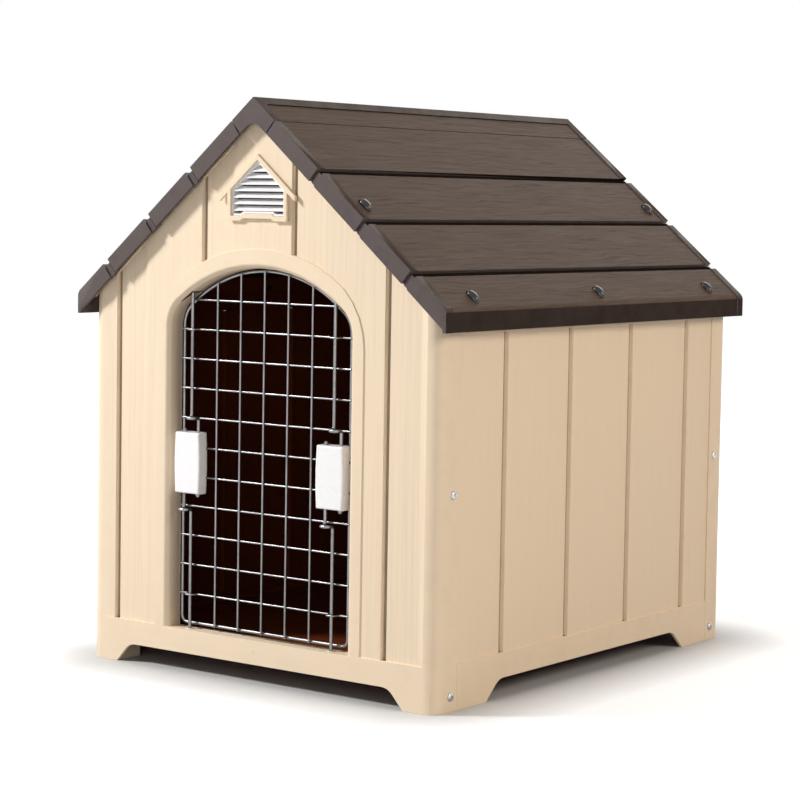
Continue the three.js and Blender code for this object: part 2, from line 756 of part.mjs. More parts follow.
function ventLouvres() {
  const [low, high] = [frontY, frontY + ventCollar];
  const rim = alongY(louvreOutline(gap), low, high)
    .subtract(alongY(louvreOutline(gap + louvreRim), low - 1, high + 1));
  const slats = [];
  const first = ventBottom + ventSill - louvreStart;
  const [slatLow, slatHigh] = [low + gap, high - gap];
  for (let z = first; z < ventApex - ventRoofBar - louvreDrop; z += louvrePitch) {
    slats.push(alongX([[slatLow, z], [slatLow, z + louvreThickness],
      [slatHigh, z + louvreThickness + louvreDrop], [slatHigh, z + louvreDrop]],
    -ventHalf, ventHalf));
  }
  const within = alongY(louvreOutline(gap + louvreRim / 2), low, high);
  return join([rim, join(slats).intersect(within)]);
}

// ---- floor tray ----
function floorTray() {
  const clear = grooveDepth + wall + gap;
  const x = halfW - clear;
  const y = bodyDepth / 2 - clear;
  const notch = rodRadius + 2 * rodFit;
  const rodNotches = latchX.map((rodX) => block(
    rodX - notch, rodX + notch, -far, rodY + notch + wall, trayLow + wall, far));
  const inside = block(wall - x, x - wall, wall - y, y - wall, trayLow + wall, far);
  return cut(block(-x, x, -y, y, trayLow, trayLow + wall + floorRim), [inside, ...rodNotches]);
}

// ---- wire door ----
function crossWire(row) {
  const z = crossTop - row * crossPitch;
  const frameX = frameReach(z);
  const end = row === 0 ? frameX : frameHalf + crossOver;
  const loopY = rodY - rodRadius - wireRadius - gap;
  const points = [[-end, wireY, z]];
  if (guideRows.includes(row)) {
    for (const x of latchX) {
      points.push([x - guideHalf - guideRamp, wireY, z], [x - guideHalf, loopY, z],
        [x + guideHalf, loopY, z], [x + guideHalf + guideRamp, wireY, z]);
    }
  }
  points.push([end, wireY, z]);
  return wire(points.map((p) => new THREE.Vector3(...p)), wireRadius, 6);
}

// half width inside the frame wire's arch at a height
function frameReach(z) {
  const centreZ = frameTop - frameArch;
  return Math.min(frameHalf, Math.sqrt(Math.max(frameArch ** 2 - (z - centreZ) ** 2, 0)));
}

function doorGrille() {
  const arch = archPoints(frameHalf, frameTop, frameArch, frameShoulder, 0);
  const corner = [frameHalf - frameCorner, frameBottom + frameCorner];
  const loop = [
    ...mirrorX(arcPoints(...corner, frameCorner, -90, 0, 3)),
    ...arcPoints(...corner, frameCorner, -90, 0, 3),
    ...arch.slice(1, -1),
  ];
  const frameY = wireY + frameWeld;
  const frame = wireLoop(loop.map(([x, z]) => new THREE.Vector3(x, frameY, z)), frameRadius, 8);
  const rows = Array.from({ length: crossCount }, (_, row) => crossWire(row));
  const uprights = [];
  for (let i = -uprightsEachSide; i <= uprightsEachSide; i += 1) {
    const x = i * uprightPitch;
    const top = frameTop - frameArch + Math.sqrt(frameArch ** 2 - x ** 2);
    const y = wireY - uprightWeld;
    uprights.push(bar([x, y, frameBottom - uprightRadius], [x, y, top], uprightRadius, 6));
  }
  return join([frame, ...rows, ...uprights]);
}

// ---- sprung rods: each is cranked into a leg that runs through its latch ----
function rodPoints(x, upper) {
  const archZ = archTop - archRadius + Math.sqrt(archRadius ** 2 - rodHalf ** 2);
  const legX = x + (upper ? legOffset : -legOffset);
  const crank = upper ? upperCrank : lowerCrank;
  const lowEnd = Math.max(sillHeight - rodGrip, trayLow + wall + rodFit);
  const end = upper ? archZ + rodGrip : lowEnd;
  const out = latchHalfHeight + gap + nubHeight + 1;
  const leg = latchMiddle + (upper ? -out : out);
  const pullY = rodY - pullReach;
  return [[x, rodY, end], [x, rodY, crank], [x, pullY, crank], [legX, pullY, crank],
    [legX, rodY, crank], [legX, rodY, leg]];
}

function doorRod(x, upper) {
  const points = rodPoints(x, upper);
  const legX = points[points.length - 1][0];
  const away = upper ? -1 : 1;
  const nubAt = latchMiddle + away * (latchHalfHeight + gap);
  const collarAt = latchMiddle - away * collarLift;
  return join([
    wire(bent(points, rodBend), rodRadius, 8),
    bar([legX, rodY, nubAt], [legX, rodY, nubAt + away * nubHeight], nubRadius, 10),
    bar([legX, rodY, collarAt], [legX, rodY, collarAt - away * collarHeight], coilOut, 12),
  ]);
}

// the least gap between a coil's turns, measured on its points
function leastTurnGap(points, perTurn) {
  let least = Infinity;
  for (let i = 0; i < points.length; i += 1) {
    for (let j = i + Math.floor(perTurn * 0.75); j < points.length; j += 1) {
      least = Math.min(least, points[i].distanceTo(points[j]));
    }
  }
  return least - 2 * springWire;
}

function latchSpring(x, upper) {
  const away = upper ? -1 : 1;
  const legX = x + (upper ? legOffset : -legOffset);
  const seat = latchMiddle + away * (latchHalfHeight - latchWall - gap - springWire);
  const collar = latchMiddle - away * (collarLift - gap - springWire);
  const coil = coilOut - springWire;
  const perTurn = 8;
  const count = springTurns * perTurn;
  const points = Array.from({ length: count + 1 }, (_, i) => {
    const angle = (2 * Math.PI * i) / perTurn;
    return new THREE.Vector3(legX + coil * Math.cos(angle), rodY + coil * Math.sin(angle),
      seat + ((collar - seat) * i) / count);
  });
  return { body: wire(points, springWire, 5), least: leastTurnGap(points, perTurn) };
}

// ---- latch housings: a front shell and a rear cover clamped over two cross wires ----
function latchSolid(x, half, endHalf) {
  const tall = latchHalfHeight - latchRound;
  const bulge = (side) => new THREE.QuadraticBezierCurve(
    new THREE.Vector2(x + side * (endHalf - latchRound), latchMiddle - side * tall),
    new THREE.Vector2(x + side * (2 * half - endHalf - latchRound), latchMiddle),
    new THREE.Vector2(x + side * (endHalf - latchRound), latchMiddle + side * tall),
  ).getPoints(5).map((p) => [p.x, p.y]);
  const depth = latchBack - latchFront - 2 * latchRound;
  const geometry = new THREE.ExtrudeGeometry(outline([...bulge(1), ...bulge(-1)]), {
    depth, bevelEnabled: true, bevelSegments: 2, bevelThickness: latchRound,
    bevelSize: latchRound,
  });
  return solid(geometry.rotateX(Math.PI / 2).translate(0, frontY + latchBack - latchRound, 0));
}

function latchTools(x) {
  const inner = latchHalfHeight - latchWall;
  const side = legOffset + coilOut + gap;
  const cavity = block(x - side, x + side,
    frontY + latchFront + latchWall, frontY + latchBack - latchWall,
    latchMiddle - inner, latchMiddle + inner);
  const legs = [-legOffset, legOffset].map((offset) => bar(
    [x + offset, rodY, latchMiddle - latchHalfHeight - 1],
    [x + offset, rodY, latchMiddle + latchHalfHeight + 1], rodRadius + gap, 12));
  const wires = Array.from({ length: crossCount }, (_, row) => {
    const z = crossTop - row * crossPitch;
    return block(-far, far, wireY - wireRadius - gap, wireY + wireRadius + gap,
      z - wireRadius - gap, z + wireRadius + gap);
  });
  return [cavity, ...legs, ...wires];
}

function latchShell(x) {
  const front = block(-far, far, -far, wireY - gap / 2, 0, far);
  return cut(latchSolid(x, latchHalf, latchEndHalf).intersect(front), latchTools(x));
}

function latchCover(x) {
  const rear = block(-far, far, wireY + gap / 2, far, 0, far);
  return cut(latchSolid(x, coverHalf, coverHalf - 1).intersect(rear), latchTools(x));
}

// ---- screws ----
function cornerScrew(side, y, z) {
  const profile = [[0, -screwLength], [screwShank, -screwLength], [screwShank, gap],
    [screwHead, gap], [screwHead * 0.86, screwDome * 0.62], [screwHead * 0.5, screwDome],
    [0, screwDome]];
  const lathe = new THREE.LatheGeometry(
    profile.map(([r, h]) => new THREE.Vector2(r, h)), 12);
  lathe.rotateZ(-side * Math.PI / 2).translate(side * halfW, y, z);
  return solid(lathe);
}

// ---- assembly ----
const front = frontPanel();
addPiece('front_panel', front, finish.beige);
addPiece('back_panel', endPanel().rotate([0, 0, 180]), finish.beige);
const wallBody = sideWall();
addPiece('right_wall', wallBody, finish.sand);
addPiece('left_wall', wallBody.rotate([0, 0, 180]), finish.sand);
addPiece('floor_panel', floorTray(), finish.beige);

const roofBody = roofHalf();
addPiece('roof_right', roofBody, finish.brown);
addPiece('roof_left', roofBody.rotate([0, 0, 180]), finish.brown);
addPiece('ridge_cap', ridgeCap(), finish.brown);

addPiece('vent_frame', ventFrame(), finish.beige);
addPiece('vent_louvres', ventLouvres(), finish.white);

addPiece('door_grille', doorGrille(), finish.steel);
for (const [i, x] of latchX.entries()) {
  const hand = i === 0 ? 'left' : 'right';
  addPiece(`latch_shell_${hand}`, latchShell(x), finish.white);
  addPiece(`latch_cover_${hand}`, latchCover(x), finish.white);
  for (const upper of [true, false]) {
    const level = upper ? 'upper' : 'lower';
    addPiece(`rod_${hand}_${level}`, doorRod(x, upper), finish.steel);
    const spring = latchSpring(x, upper);
    addPiece(`spring_${hand}_${level}`, spring.body, finish.steel);
    console.log(`spring_${hand}_${level}: least gap between turns ${spring.least.toFixed(2)} mm`);
  }
}

let screwCount = 0;
for (const side of [1, -1]) {
  for (const end of [-1, 1]) {
    for (const z of screwHeights) {
      screwCount += 1;
      const y = end * (bodyDepth / 2 - screwInset);
      addPiece(`corner_screw_${screwCount}`, cornerScrew(side, y, z), finish.steel);
    }
  }
}

let lockCount = 0;
for (const side of [1, -1]) {
  for (const [s, y] of lockPlaces()) {
    lockCount += 1;
    addPiece(`roof_lock_${lockCount}`, placedOnSlope(lockShape(), s, y, side), finish.black);
  }
}

export default kennel;
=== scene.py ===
"""A moulded plastic kennel with a lapped roof, a gable vent and a sprung wire door.

Metres, +Z up. The door faces -Y. The origin is on the ground under the middle of the body.
"""

import logging
import math
from dataclasses import dataclass
from enum import Enum, IntEnum
from typing import Callable, Sequence

import bmesh
import bpy
from mathutils import Matrix, Vector


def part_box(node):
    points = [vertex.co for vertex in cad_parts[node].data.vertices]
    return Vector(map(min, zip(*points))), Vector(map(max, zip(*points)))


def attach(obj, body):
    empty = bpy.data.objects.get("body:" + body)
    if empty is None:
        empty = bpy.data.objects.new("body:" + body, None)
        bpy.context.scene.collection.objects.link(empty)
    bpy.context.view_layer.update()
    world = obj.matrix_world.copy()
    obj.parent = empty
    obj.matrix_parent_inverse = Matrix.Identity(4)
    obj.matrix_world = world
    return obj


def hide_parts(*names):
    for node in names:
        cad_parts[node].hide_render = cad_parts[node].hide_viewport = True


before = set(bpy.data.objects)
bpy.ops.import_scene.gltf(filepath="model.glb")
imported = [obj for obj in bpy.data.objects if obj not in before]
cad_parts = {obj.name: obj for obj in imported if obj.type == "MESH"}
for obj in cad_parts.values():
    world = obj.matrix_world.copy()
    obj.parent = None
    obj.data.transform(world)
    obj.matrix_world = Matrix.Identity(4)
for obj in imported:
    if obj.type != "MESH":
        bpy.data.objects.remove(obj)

LOG = logging.getLogger("kennel")
MM = 0.001
HALF_WIDTH = 255 * MM
FRONT_Y = -312.5 * MM
PITCH = math.radians(40.1)
EAVE_X = HALF_WIDTH + 14.5 * MM
RIDGE_Z = 437 * MM + EAVE_X * math.tan(PITCH)
SLOPE_LENGTH = EAVE_X / math.cos(PITCH)
ROOF_END_Y = 323.5 * MM

ROD_X = 105 * MM
ROD_Y = FRONT_Y + 10 * MM
GAP = 0.3 * MM  # between pieces that touch

FACES_OUT = 0.9  # cosine from which a face looks straight out
LEANS = 0.5  # cosine from which a face leans a way
PLANK_FOOT = 51 * MM  # the planks end above the base band
BOARD_DEPTH = 1.2 * MM  # a board lies deeper than this
GROOVE_DEPTH = 5 * MM  # and a groove deeper than this
GROOVE_BOTTOM = 7 * MM

MERGE = 2e-6  # corners of a CAD copy this close are one
WELD = 1e-6
NO_FEED = 1e-7  # a straight shorter than this is left out
FLAT_ANGLE = math.radians(0.4)  # below it, two facets are one face
ARRIS_ANGLE = math.radians(24)  # above it, an edge is an arris
ARRIS_WIDEST = 3 * MM  # the bevel's width at a full weight
ARRIS_SEGMENTS = 2
FLAT_WEIGHT = 80  # how far the large faces rule the normals

Colour = tuple[float, float, float]


class Hand(Enum):
    """A side of the doorway, seen from the front."""

    LEFT = "left"
    RIGHT = "right"


class Level(Enum):
    """An end of a latch, where one of its two rods comes out."""

    UPPER = "upper"
    LOWER = "lower"


# ---------------------------------------------------------------- finishes
class Grain(Enum):
    """The way a moulded wood grain runs."""

    UPRIGHT = "upright"
    ALONG_ROOF = "along the ridge"
    NONE = "smooth"


class NodeBench:
    """A material under construction, with short ways to add and join its nodes."""

    def __init__(self, name: str) -> None:
        """Starts a material with one shader.

        Args:
            name: the material's name.
        """
        self.material = bpy.data.materials.new(name)
        self.material.use_nodes = True
        self.tree = self.material.node_tree
        self.tree.nodes.clear()
        self.shader = self.add("ShaderNodeBsdfPrincipled")
        output = self.add("ShaderNodeOutputMaterial")
        self.tree.links.new(self.shader.outputs["BSDF"], output.inputs["Surface"])

    def add(self, kind: str, **settings: object) -> bpy.types.Node:
        """Adds a node and sets its properties.

        Args:
            kind: the node's type.
            settings: its properties and their values.

        Returns:
            The new node.
        """
        node = self.tree.nodes.new(kind)
        for key, value in settings.items():
            setattr(node, key, value)
        return node

    def feed(self, node: bpy.types.Node, **inputs: object) -> bpy.types.Node:
        """Fills a node's inputs with values or with other nodes' outputs.

        Args:
            node: the node to feed.
            inputs: values or output sockets, by the input's name with "_" for a blank,
                or by "_" and the input's number.

        Returns:
            The same node.
        """
        for key, value in inputs.items():
            socket = node.inputs[int(key[1:])] if key[1:].isdigit() else node.inputs[
                key.replace("_", " ")]
            if isinstance(value, bpy.types.NodeSocket):
                self.tree.links.new(value, socket)
            else:
                socket.default_value = value
        return node

    def place(self) -> bpy.types.NodeSocket:
        """The point on the surface, in the kennel's own frame."""
        return self.add("ShaderNodeTexCoord").outputs["Object"]

    def stretched(self, vector: bpy.types.NodeSocket, scale: Colour) -> bpy.types.NodeSocket:
        """A point list scaled by a different amount along each axis."""
        node = self.feed(self.add("ShaderNodeMapping"), Vector=vector, Scale=scale)
        return node.outputs["Vector"]

    def noise(self, vector: bpy.types.NodeSocket, scale: float, detail: float = 4.0,
              roughness: float = 0.55) -> bpy.types.NodeSocket:
        """Fractal noise, as a value about 0.5.

        Args:
            vector: where the noise is read.
            scale: how fine it is.
            detail: how many finer layers it has.
            roughness: how strong those are.

        Returns:
            The value's output socket.
        """
        node = self.feed(self.add("ShaderNodeTexNoise"), Vector=vector, Scale=scale, Detail=detail,
                         Roughness=roughness)
        return node.outputs["Fac"]

    def sum(self, *terms: tuple[bpy.types.NodeSocket, float]) -> bpy.types.NodeSocket:
        """A weighted sum of values.

        Args:
            terms: pairs of a value and its weight.

        Returns:
            The sum's output socket.
        """
        total: bpy.types.NodeSocket | float = 0.0
        for value, weight in terms:
            node = self.add("ShaderNodeMath", operation="MULTIPLY_ADD")
            self.feed(node, _0=value, _1=weight, _2=total)
            total = node.outputs[0]
        return total

    def spread(self, value: bpy.types.NodeSocket, low: float, high: float,
               start: float = 0.3, end: float = 0.7) -> bpy.types.NodeSocket:
        """A value mapped from one range to another.

        Args:
            value: the value.
            low: the result at start.
            high: the result at end.
            start: where the first range begins.
            end: where it ends.

        Returns:
            The result's output socket.
        """
        node = self.feed(self.add("ShaderNodeMapRange"), Value=value, _1=start, _2=end, _3=low,
                         _4=high)
        return node.outputs["Result"]

    def tint(self, value: bpy.types.NodeSocket, stops: Sequence[tuple[float, Colour]],
             ) -> bpy.types.NodeSocket:
        """A colour looked up on a ramp.

        Args:
            value: where to look.
            stops: places and colours, from low to high.

        Returns:
            The colour's output socket.
        """
        node = self.feed(self.add("ShaderNodeValToRGB"), Fac=value)
        elements = node.color_ramp.elements
        while len(elements) < len(stops):
            elements.new(0.5)
        for element, (position, colour) in zip(elements, stops):
            element.position = position
            element.color = (*colour, 1.0)
        return node.outputs["Color"]

    def relief(self, height: bpy.types.NodeSocket, strength: float, distance: float) -> None:
        """Raises the surface's shading by a height value."""
        node = self.feed(self.add("ShaderNodeBump"), Height=height, Strength=strength,
                         Distance=distance)
        self.feed(self.shader, Normal=node.outputs["Normal"])


def shaded(colour: Colour, amount: float) -> Colour:
    """The same colour, lighter above 1 and darker below it."""
    return tuple(min(1.0, channel * amount) for channel in colour)


@dataclass(frozen=True)
class MouldedPlastic:
    """Coloured-through plastic out of a mould, grained like wood or left plain."""

    name: str
    colour: Colour
    grain: Grain = Grain.NONE
    contrast: float = 0.06
    roughness: float = 0.5
    specular: float = 0.4
    depth: float = 0.35

    def slope_place(self, bench: NodeBench) -> bpy.types.NodeSocket:
        """The point on either roof slope, as a distance down it and one along the ridge.

        Args:
            bench: the material being made.

        Returns:
            The point's output socket.
        """
        parts = bench.feed(bench.add("ShaderNodeSeparateXYZ"), Vector=bench.place())
        across = bench.add("ShaderNodeMath", operation="ABSOLUTE")
        bench.feed(across, _0=parts.outputs["X"])
        down = bench.sum((across.outputs[0], math.cos(PITCH)), (parts.outputs["Z"],
                                                                -math.sin(PITCH)))
        joined = bench.feed(bench.add("ShaderNodeCombineXYZ"), X=down, Y=parts.outputs["Y"])
        return joined.outputs["Vector"]

    def streaks(self, bench: NodeBench) -> tuple[bpy.types.NodeSocket, bpy.types.NodeSocket]:
        """The grain's tone and its height.

        Args:
            bench: the material being made.

        Returns:
            A tone value for the colour and a height value for the relief.
        """
        if self.grain is Grain.ALONG_ROOF:
            place = self.slope_place(bench)
            wander = bench.noise(bench.stretched(place, (22, 6, 1)), 1.0, 3.0)
            lines = bench.stretched(place, (620, 14, 1))
            bent = bench.add("ShaderNodeVectorMath", operation="ADD")
            shift = bench.feed(bench.add("ShaderNodeCombineXYZ"),
                               X=bench.spread(wander, -5.0, 5.0, 0.2, 0.8))
            bench.feed(bent, _0=lines, _1=shift.outputs["Vector"])
            coarse = bench.noise(bent.outputs["Vector"], 0.6, 2.0, 0.5)
            fine = bench.noise(bent.outputs["Vector"], 1.9, 2.0, 0.5)
            lined = bench.sum((coarse, 0.5), (fine, 0.5))
            return lined, lined
        if self.grain is Grain.UPRIGHT:
            place = bench.place()
            coarse = bench.noise(bench.stretched(place, (380, 380, 6)), 1.0, 3.0, 0.5)
            fine = bench.noise(bench.stretched(place, (1100, 1100, 16)), 1.0, 2.0, 0.5)
            return (bench.sum((coarse, 0.6), (fine, 0.4)),
                    bench.sum((coarse, 0.4), (fine, 0.6)))
        place = bench.place()
        cloud = bench.noise(place, 40.0, 4.0, 0.6)
        pores = bench.noise(place, 700.0, 2.0, 0.6)
        return cloud, bench.sum((cloud, 0.3), (pores, 0.7))

    def material(self) -> bpy.types.Material:
        """Makes the material.

        Returns:
            The new material.
        """
        bench = NodeBench(self.name)
        tone, height = self.streaks(bench)
        cloud = bench.noise(bench.place(), 7.0, 3.0, 0.5)
        look = bench.sum((tone, 0.88), (cloud, 0.12))
        stops = [(0.28, shaded(self.colour, 1 - 2 * self.contrast)), (0.5, self.colour),
                 (0.72, shaded(self.colour, 1 + self.contrast))]
        bench.feed(bench.shader, Base_Color=bench.tint(look, stops),
                   Roughness=bench.spread(tone, self.roughness + 0.06, self.roughness - 0.06),
                   Specular_IOR_Level=self.specular)
        bench.relief(height, self.depth, 0.5 * MM)
        return bench.material


@dataclass(frozen=True)
class ZincWire:
    """Zinc-plated steel, drawn into wire or pressed into screws."""

    name: str
    colour: Colour = (0.24, 0.24, 0.245)
    roughness: float = 0.34

    def material(self) -> bpy.types.Material:
        """Makes the material.

        Returns:
            The new material.
        """
        bench = NodeBench(self.name)
        spangle = bench.noise(bench.place(), 260.0, 4.0, 0.65)
        cloud = bench.noise(bench.place(), 35.0, 2.0, 0.5)
        look = bench.sum((spangle, 0.5), (cloud, 0.5))
        stops = [(0.3, shaded(self.colour, 0.72)), (0.5, self.colour),
                 (0.7, shaded(self.colour, 1.2))]
        bench.feed(bench.shader, Base_Color=bench.tint(look, stops), Metallic=1.0,
                   Roughness=bench.spread(look, self.roughness + 0.12, self.roughness - 0.08))
        bench.relief(spangle, 0.15, 0.2 * MM)
        return bench.material


@dataclass(frozen=True)
class StudioFloor:
    """A pale floor that keeps the kennel's shadow, white to the eye further off; its glow fades
    near the kennel as a painted shade.
    """

    name: str = "studio_floor"
    footprint: Colour = (0.20, 0.26, 0.0)
    near: tuple[float, float] = (0.05, 0.16)
    near_glow: float = 0.65
    far: tuple[float, float] = (0.16, 0.9)
    far_glow: float = 0.35
    tones: tuple[float, float] = (0.53, 0.55)

    def reach(self, bench: NodeBench) -> bpy.types.NodeSocket:
        """How far a point of the floor is outside the kennel's footprint.

        Args:
            bench: the material being made.

        Returns:
            The distance's output socket.
        """
        size = bench.add("ShaderNodeVectorMath", operation="ABSOLUTE")
        bench.feed(size, _0=bench.place())
        past = bench.add("ShaderNodeVectorMath", operation="SUBTRACT")
        bench.feed(past, _0=size.outputs["Vector"], _1=self.footprint)
        outside = bench.add("ShaderNodeVectorMath", operation="MAXIMUM")
        bench.feed(outside, _0=past.outputs["Vector"], _1=(0.0, 0.0, 0.0))
        length = bench.add("ShaderNodeVectorMath", operation="LENGTH")
        return bench.feed(length, _0=outside.outputs["Vector"]).outputs["Value"]

    def material(self) -> bpy.types.Material:
        """Makes the material.

        Returns:
            The new material.
        """
        bench = NodeBench(self.name)
        reach = self.reach(bench)
        # Painted shade: the glow is 0 near the kennel's footprint, so the floor there stays darker
        # than further off, besides the cast shadow.
        near = bench.spread(reach, 0.0, self.near_glow, *self.near)
        far = bench.spread(reach, 0.0, self.far_glow, *self.far)
        path = bench.add("ShaderNodeLightPath")
        seen = bench.sum(*((path.outputs[ray], 1.0) for ray in
                           ("Is Camera Ray", "Is Glossy Ray", "Is Transmission Ray")))
        glow = bench.add("ShaderNodeMath", operation="MULTIPLY")
        bench.feed(glow, _0=seen, _1=bench.sum((near, 1.0), (far, 1.0)))
        speck = bench.noise(bench.place(), 60.0, 2.0)
        low, high = self.tones
        bench.feed(bench.shader, Roughness=0.9, Specular_IOR_Level=0.0,
                   Base_Color=bench.tint(speck, [(0.3, (low, low, low)),
                                                 (0.7, (high, high, high))]),
                   Emission_Color=(1.0, 1.0, 1.0, 1.0), Emission_Strength=glow.outputs[0])
        return bench.material


BEIGE: Colour = (0.86, 0.70, 0.515)
BROWN: Colour = (0.113, 0.08, 0.061)
# Painted shade: the eave skirt's colour is the roof brown darkened to about a third.
SKIRT_PAINTED_SHADE: Colour = (0.034, 0.023, 0.019)
BROWN_GLOSS: Colour = (0.098, 0.078, 0.075)


class Finishes:
    """Every material of the kennel, made once; the grooves, the inside and the roof's strips, laps
    and eave skirt carry painted shade.
    """

    def __init__(self) -> None:
        """Makes the materials."""
        self.board = MouldedPlastic("beige_board", BEIGE, Grain.UPRIGHT, 0.05).material()
        self.border = MouldedPlastic("beige_border", BEIGE, contrast=0.02,
                                     depth=0.12).material()
        # Painted shade: the grooves are the beige darkened to 0.42, standing in for the shade that
        # falls in them.
        self.groove = MouldedPlastic("groove_painted_shade", shaded(BEIGE, 0.42), specular=0.1,
                                     depth=0.12).material()
        self.side_board = MouldedPlastic("side_board", BEIGE, Grain.UPRIGHT, 0.02,
                                         depth=0.2).material()
        # Painted shade: the inside faces of the beige plastic are coloured dark red-brown,
        # standing in for the shade inside the cabin.
        self.inside = MouldedPlastic("inside_painted_shade", (0.14, 0.03, 0.009), contrast=0.08,
                                     roughness=0.7, specular=0.05, depth=0.2).material()
        self.roof_field = MouldedPlastic("roof_grain", BROWN, Grain.ALONG_ROOF, 0.25, 0.65, 0.05,
                                         0.5).material()
        # Painted shade: the smooth end strips and the ridge cap are the roof brown darkened to
        # 0.65.
        self.roof_strip_painted_shade = MouldedPlastic("roof_strip_painted_shade", shaded(BROWN, 0.65), contrast=0.08,
                                         roughness=0.6, specular=0.06, depth=0.15).material()
        self.roof_border = MouldedPlastic("roof_smooth", BROWN_GLOSS, contrast=0.1,
                                          specular=0.2, depth=0.15).material()
        # Painted shade: the laps' ledges and steps are the roof brown darkened to 0.14, standing
        # in for the shade under each row.
        self.roof_lap_painted_shade = MouldedPlastic("roof_lap_painted_shade", shaded(BROWN, 0.14), contrast=0.1,
                                       roughness=0.75, specular=0.0, depth=0.15).material()
        # Painted shade: the eave skirt is coloured darker than the rows it is moulded with.
        self.roof_skirt_painted_shade = MouldedPlastic("roof_skirt_painted_shade", SKIRT_PAINTED_SHADE, contrast=0.12, roughness=0.65,
                                         specular=0.04, depth=0.15).material()
        self.white = MouldedPlastic("white_gloss", (0.93, 0.92, 0.925), contrast=0.01,
                                    roughness=0.3, specular=0.5, depth=0.04).material()
        self.lock = MouldedPlastic("lock_gloss", (0.016, 0.013, 0.013), contrast=0.1,
                                   roughness=0.22, specular=0.5, depth=0.05).material()
        self.zinc = ZincWire("zinc_wire").material()
        self.screw = ZincWire("zinc_screw", (0.5, 0.5, 0.5), 0.25).material()
        self.floor = StudioFloor().material()


# ---------------------------------------------------------------- meshes
def linked(bm: bmesh.types.BMesh, name: str,
           materials: Sequence[bpy.types.Material]) -> bpy.types.Object:
    """Makes an object of a bmesh and links it to the scene.

    Args:
        bm: the shape, freed here.
        name: the piece's name.
        materials: its materials, in slot order.

    Returns:
        The new object, at the origin.
    """
    mesh = bpy.data.meshes.new(name)
    bm.to_mesh(mesh)
    bm.free()
    for material in materials:
        mesh.materials.append(material)
    obj = bpy.data.objects.new(name, mesh)
    bpy.context.scene.collection.objects.link(obj)
    return obj


def finished(bm: bmesh.types.BMesh, name: str, materials: Sequence[bpy.types.Material],
             sharp: float = 40.0) -> bpy.types.Object:
    """Turns a bmesh into a piece of the kennel, smooth but for its arrises.

    Args:
        bm: the shape, freed here.
        name: the piece's name.
        materials: its materials, in slot order.
        sharp: the angle in degrees from which an edge stays sharp.

    Returns:
        The new object, at the origin.
    """
    bmesh.ops.remove_doubles(bm, verts=bm.verts, dist=WELD)
    bmesh.ops.recalc_face_normals(bm, faces=bm.faces)
    for face in bm.faces:
        face.smooth = True
    for edge in bm.edges:
        edge.smooth = edge.calc_face_angle(0.0) < math.radians(sharp)
    return linked(bm, name, materials)


def settle(obj: bpy.types.Object, body: str, slot: str, *nodes: str) -> None:
    """Says what a piece rides on and stands for.

    Args:
        obj: the piece.
        body: the body that carries it.
        slot: not used.
        nodes: the CAD nodes it replaces.
    """
    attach(obj, body)
    if nodes:
        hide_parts(*nodes)
    LOG.info("%s: %d faces, on %s", obj.name, len(obj.data.polygons), body)


@dataclass
class Moulding:
    """A moulded piece made from a copy of its CAD solid, with rounded arrises."""

    node: str
    finishes: Finishes
    edge: float = 0.35 * MM
    body: str = "kennel"
    slot: str = "beige_plastic"

    def materials(self) -> list[bpy.types.Material]:
        """The materials in slot order."""
        return [self.finishes.border]

    def zone(self, face: bmesh.types.BMFace) -> int:
        """The material slot of a face."""
        return 0

    def rounding(self, edge: bmesh.types.BMEdge) -> float:
        """The radius that an arris gets, or 0 to leave it sharp."""
        return self.edge

    def merged(self) -> bmesh.types.BMesh:
        """A copy of the CAD solid as one closed shell of flat faces.

        Returns:
            The copy, to be freed by the caller.
        """
        bm = bmesh.new()
        bm.from_mesh(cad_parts[self.node].data)
        bmesh.ops.remove_doubles(bm, verts=bm.verts, dist=MERGE)
        bmesh.ops.dissolve_limit(bm, angle_limit=FLAT_ANGLE, verts=bm.verts,
                                 edges=bm.edges, use_dissolve_boundaries=False)
        return bm

    def build(self) -> bpy.types.Object:
        """Builds the piece, dresses it and puts it in the CAD node's place.

        Returns:
            The finished piece.
        """
        bm = self.merged()
        bm.normal_update()
        weights = bm.edges.layers.float.new("bevel_weight_edge")
        for edge in bm.edges:
            if len(edge.link_faces) == 2 and edge.calc_face_angle(0.0) > ARRIS_ANGLE:
                edge[weights] = self.rounding(edge) / ARRIS_WIDEST
                edge.smooth = edge[weights] > 0.0
        for face in bm.faces:
            face.material_index = self.zone(face)
            face.smooth = True
        obj = linked(bm, self.node + "_moulding", self.materials())
        bevel = obj.modifiers.new("arris", "BEVEL")
        bevel.limit_method = "WEIGHT"
        bevel.width = ARRIS_WIDEST
        bevel.segments = ARRIS_SEGMENTS
        bevel.profile = 0.5
        bevel.use_clamp_overlap = False
        flats = obj.modifiers.new("flat_faces", "WEIGHTED_NORMAL")
        flats.keep_sharp = True
        flats.weight = FLAT_WEIGHT
        settle(obj, self.body, self.slot, self.node)
        return obj


class PanelZone(IntEnum):
    """The parts of a panel that look different, as its material slots."""

    BORDER = 0
    BOARD = 1
    # INSIDE and GROOVE faces get painted shade.
    INSIDE = 2
    GROOVE = 3

    @classmethod
    def sunk(cls, depth: float) -> "PanelZone":
        """The zone of an outward face among the planks.

        Args:
            depth: how deep the face lies behind the panel's outer plane.

        Returns:
            The zone.
        """
        if BOARD_DEPTH < depth < GROOVE_DEPTH:
            return cls.BOARD
        return cls.GROOVE if GROOVE_DEPTH < depth < GROOVE_BOTTOM else cls.BORDER


@dataclass
class Panel(Moulding):
    """A planked panel, beige outside, with painted shade as the colour of its inside."""

    skin: float = 3 * MM
    inner_depth: float = 5.2 * MM

    def hidden(self, edge: bmesh.types.BMEdge) -> bool:
        """Whether only the cabin sees an arris."""
        return all(self.zone(face) is PanelZone.INSIDE for face in edge.link_faces)

    def rounding(self, edge: bmesh.types.BMEdge) -> float:
        """Arrises that only the cabin sees stay sharp."""
        return 0.0 if self.hidden(edge) else self.edge


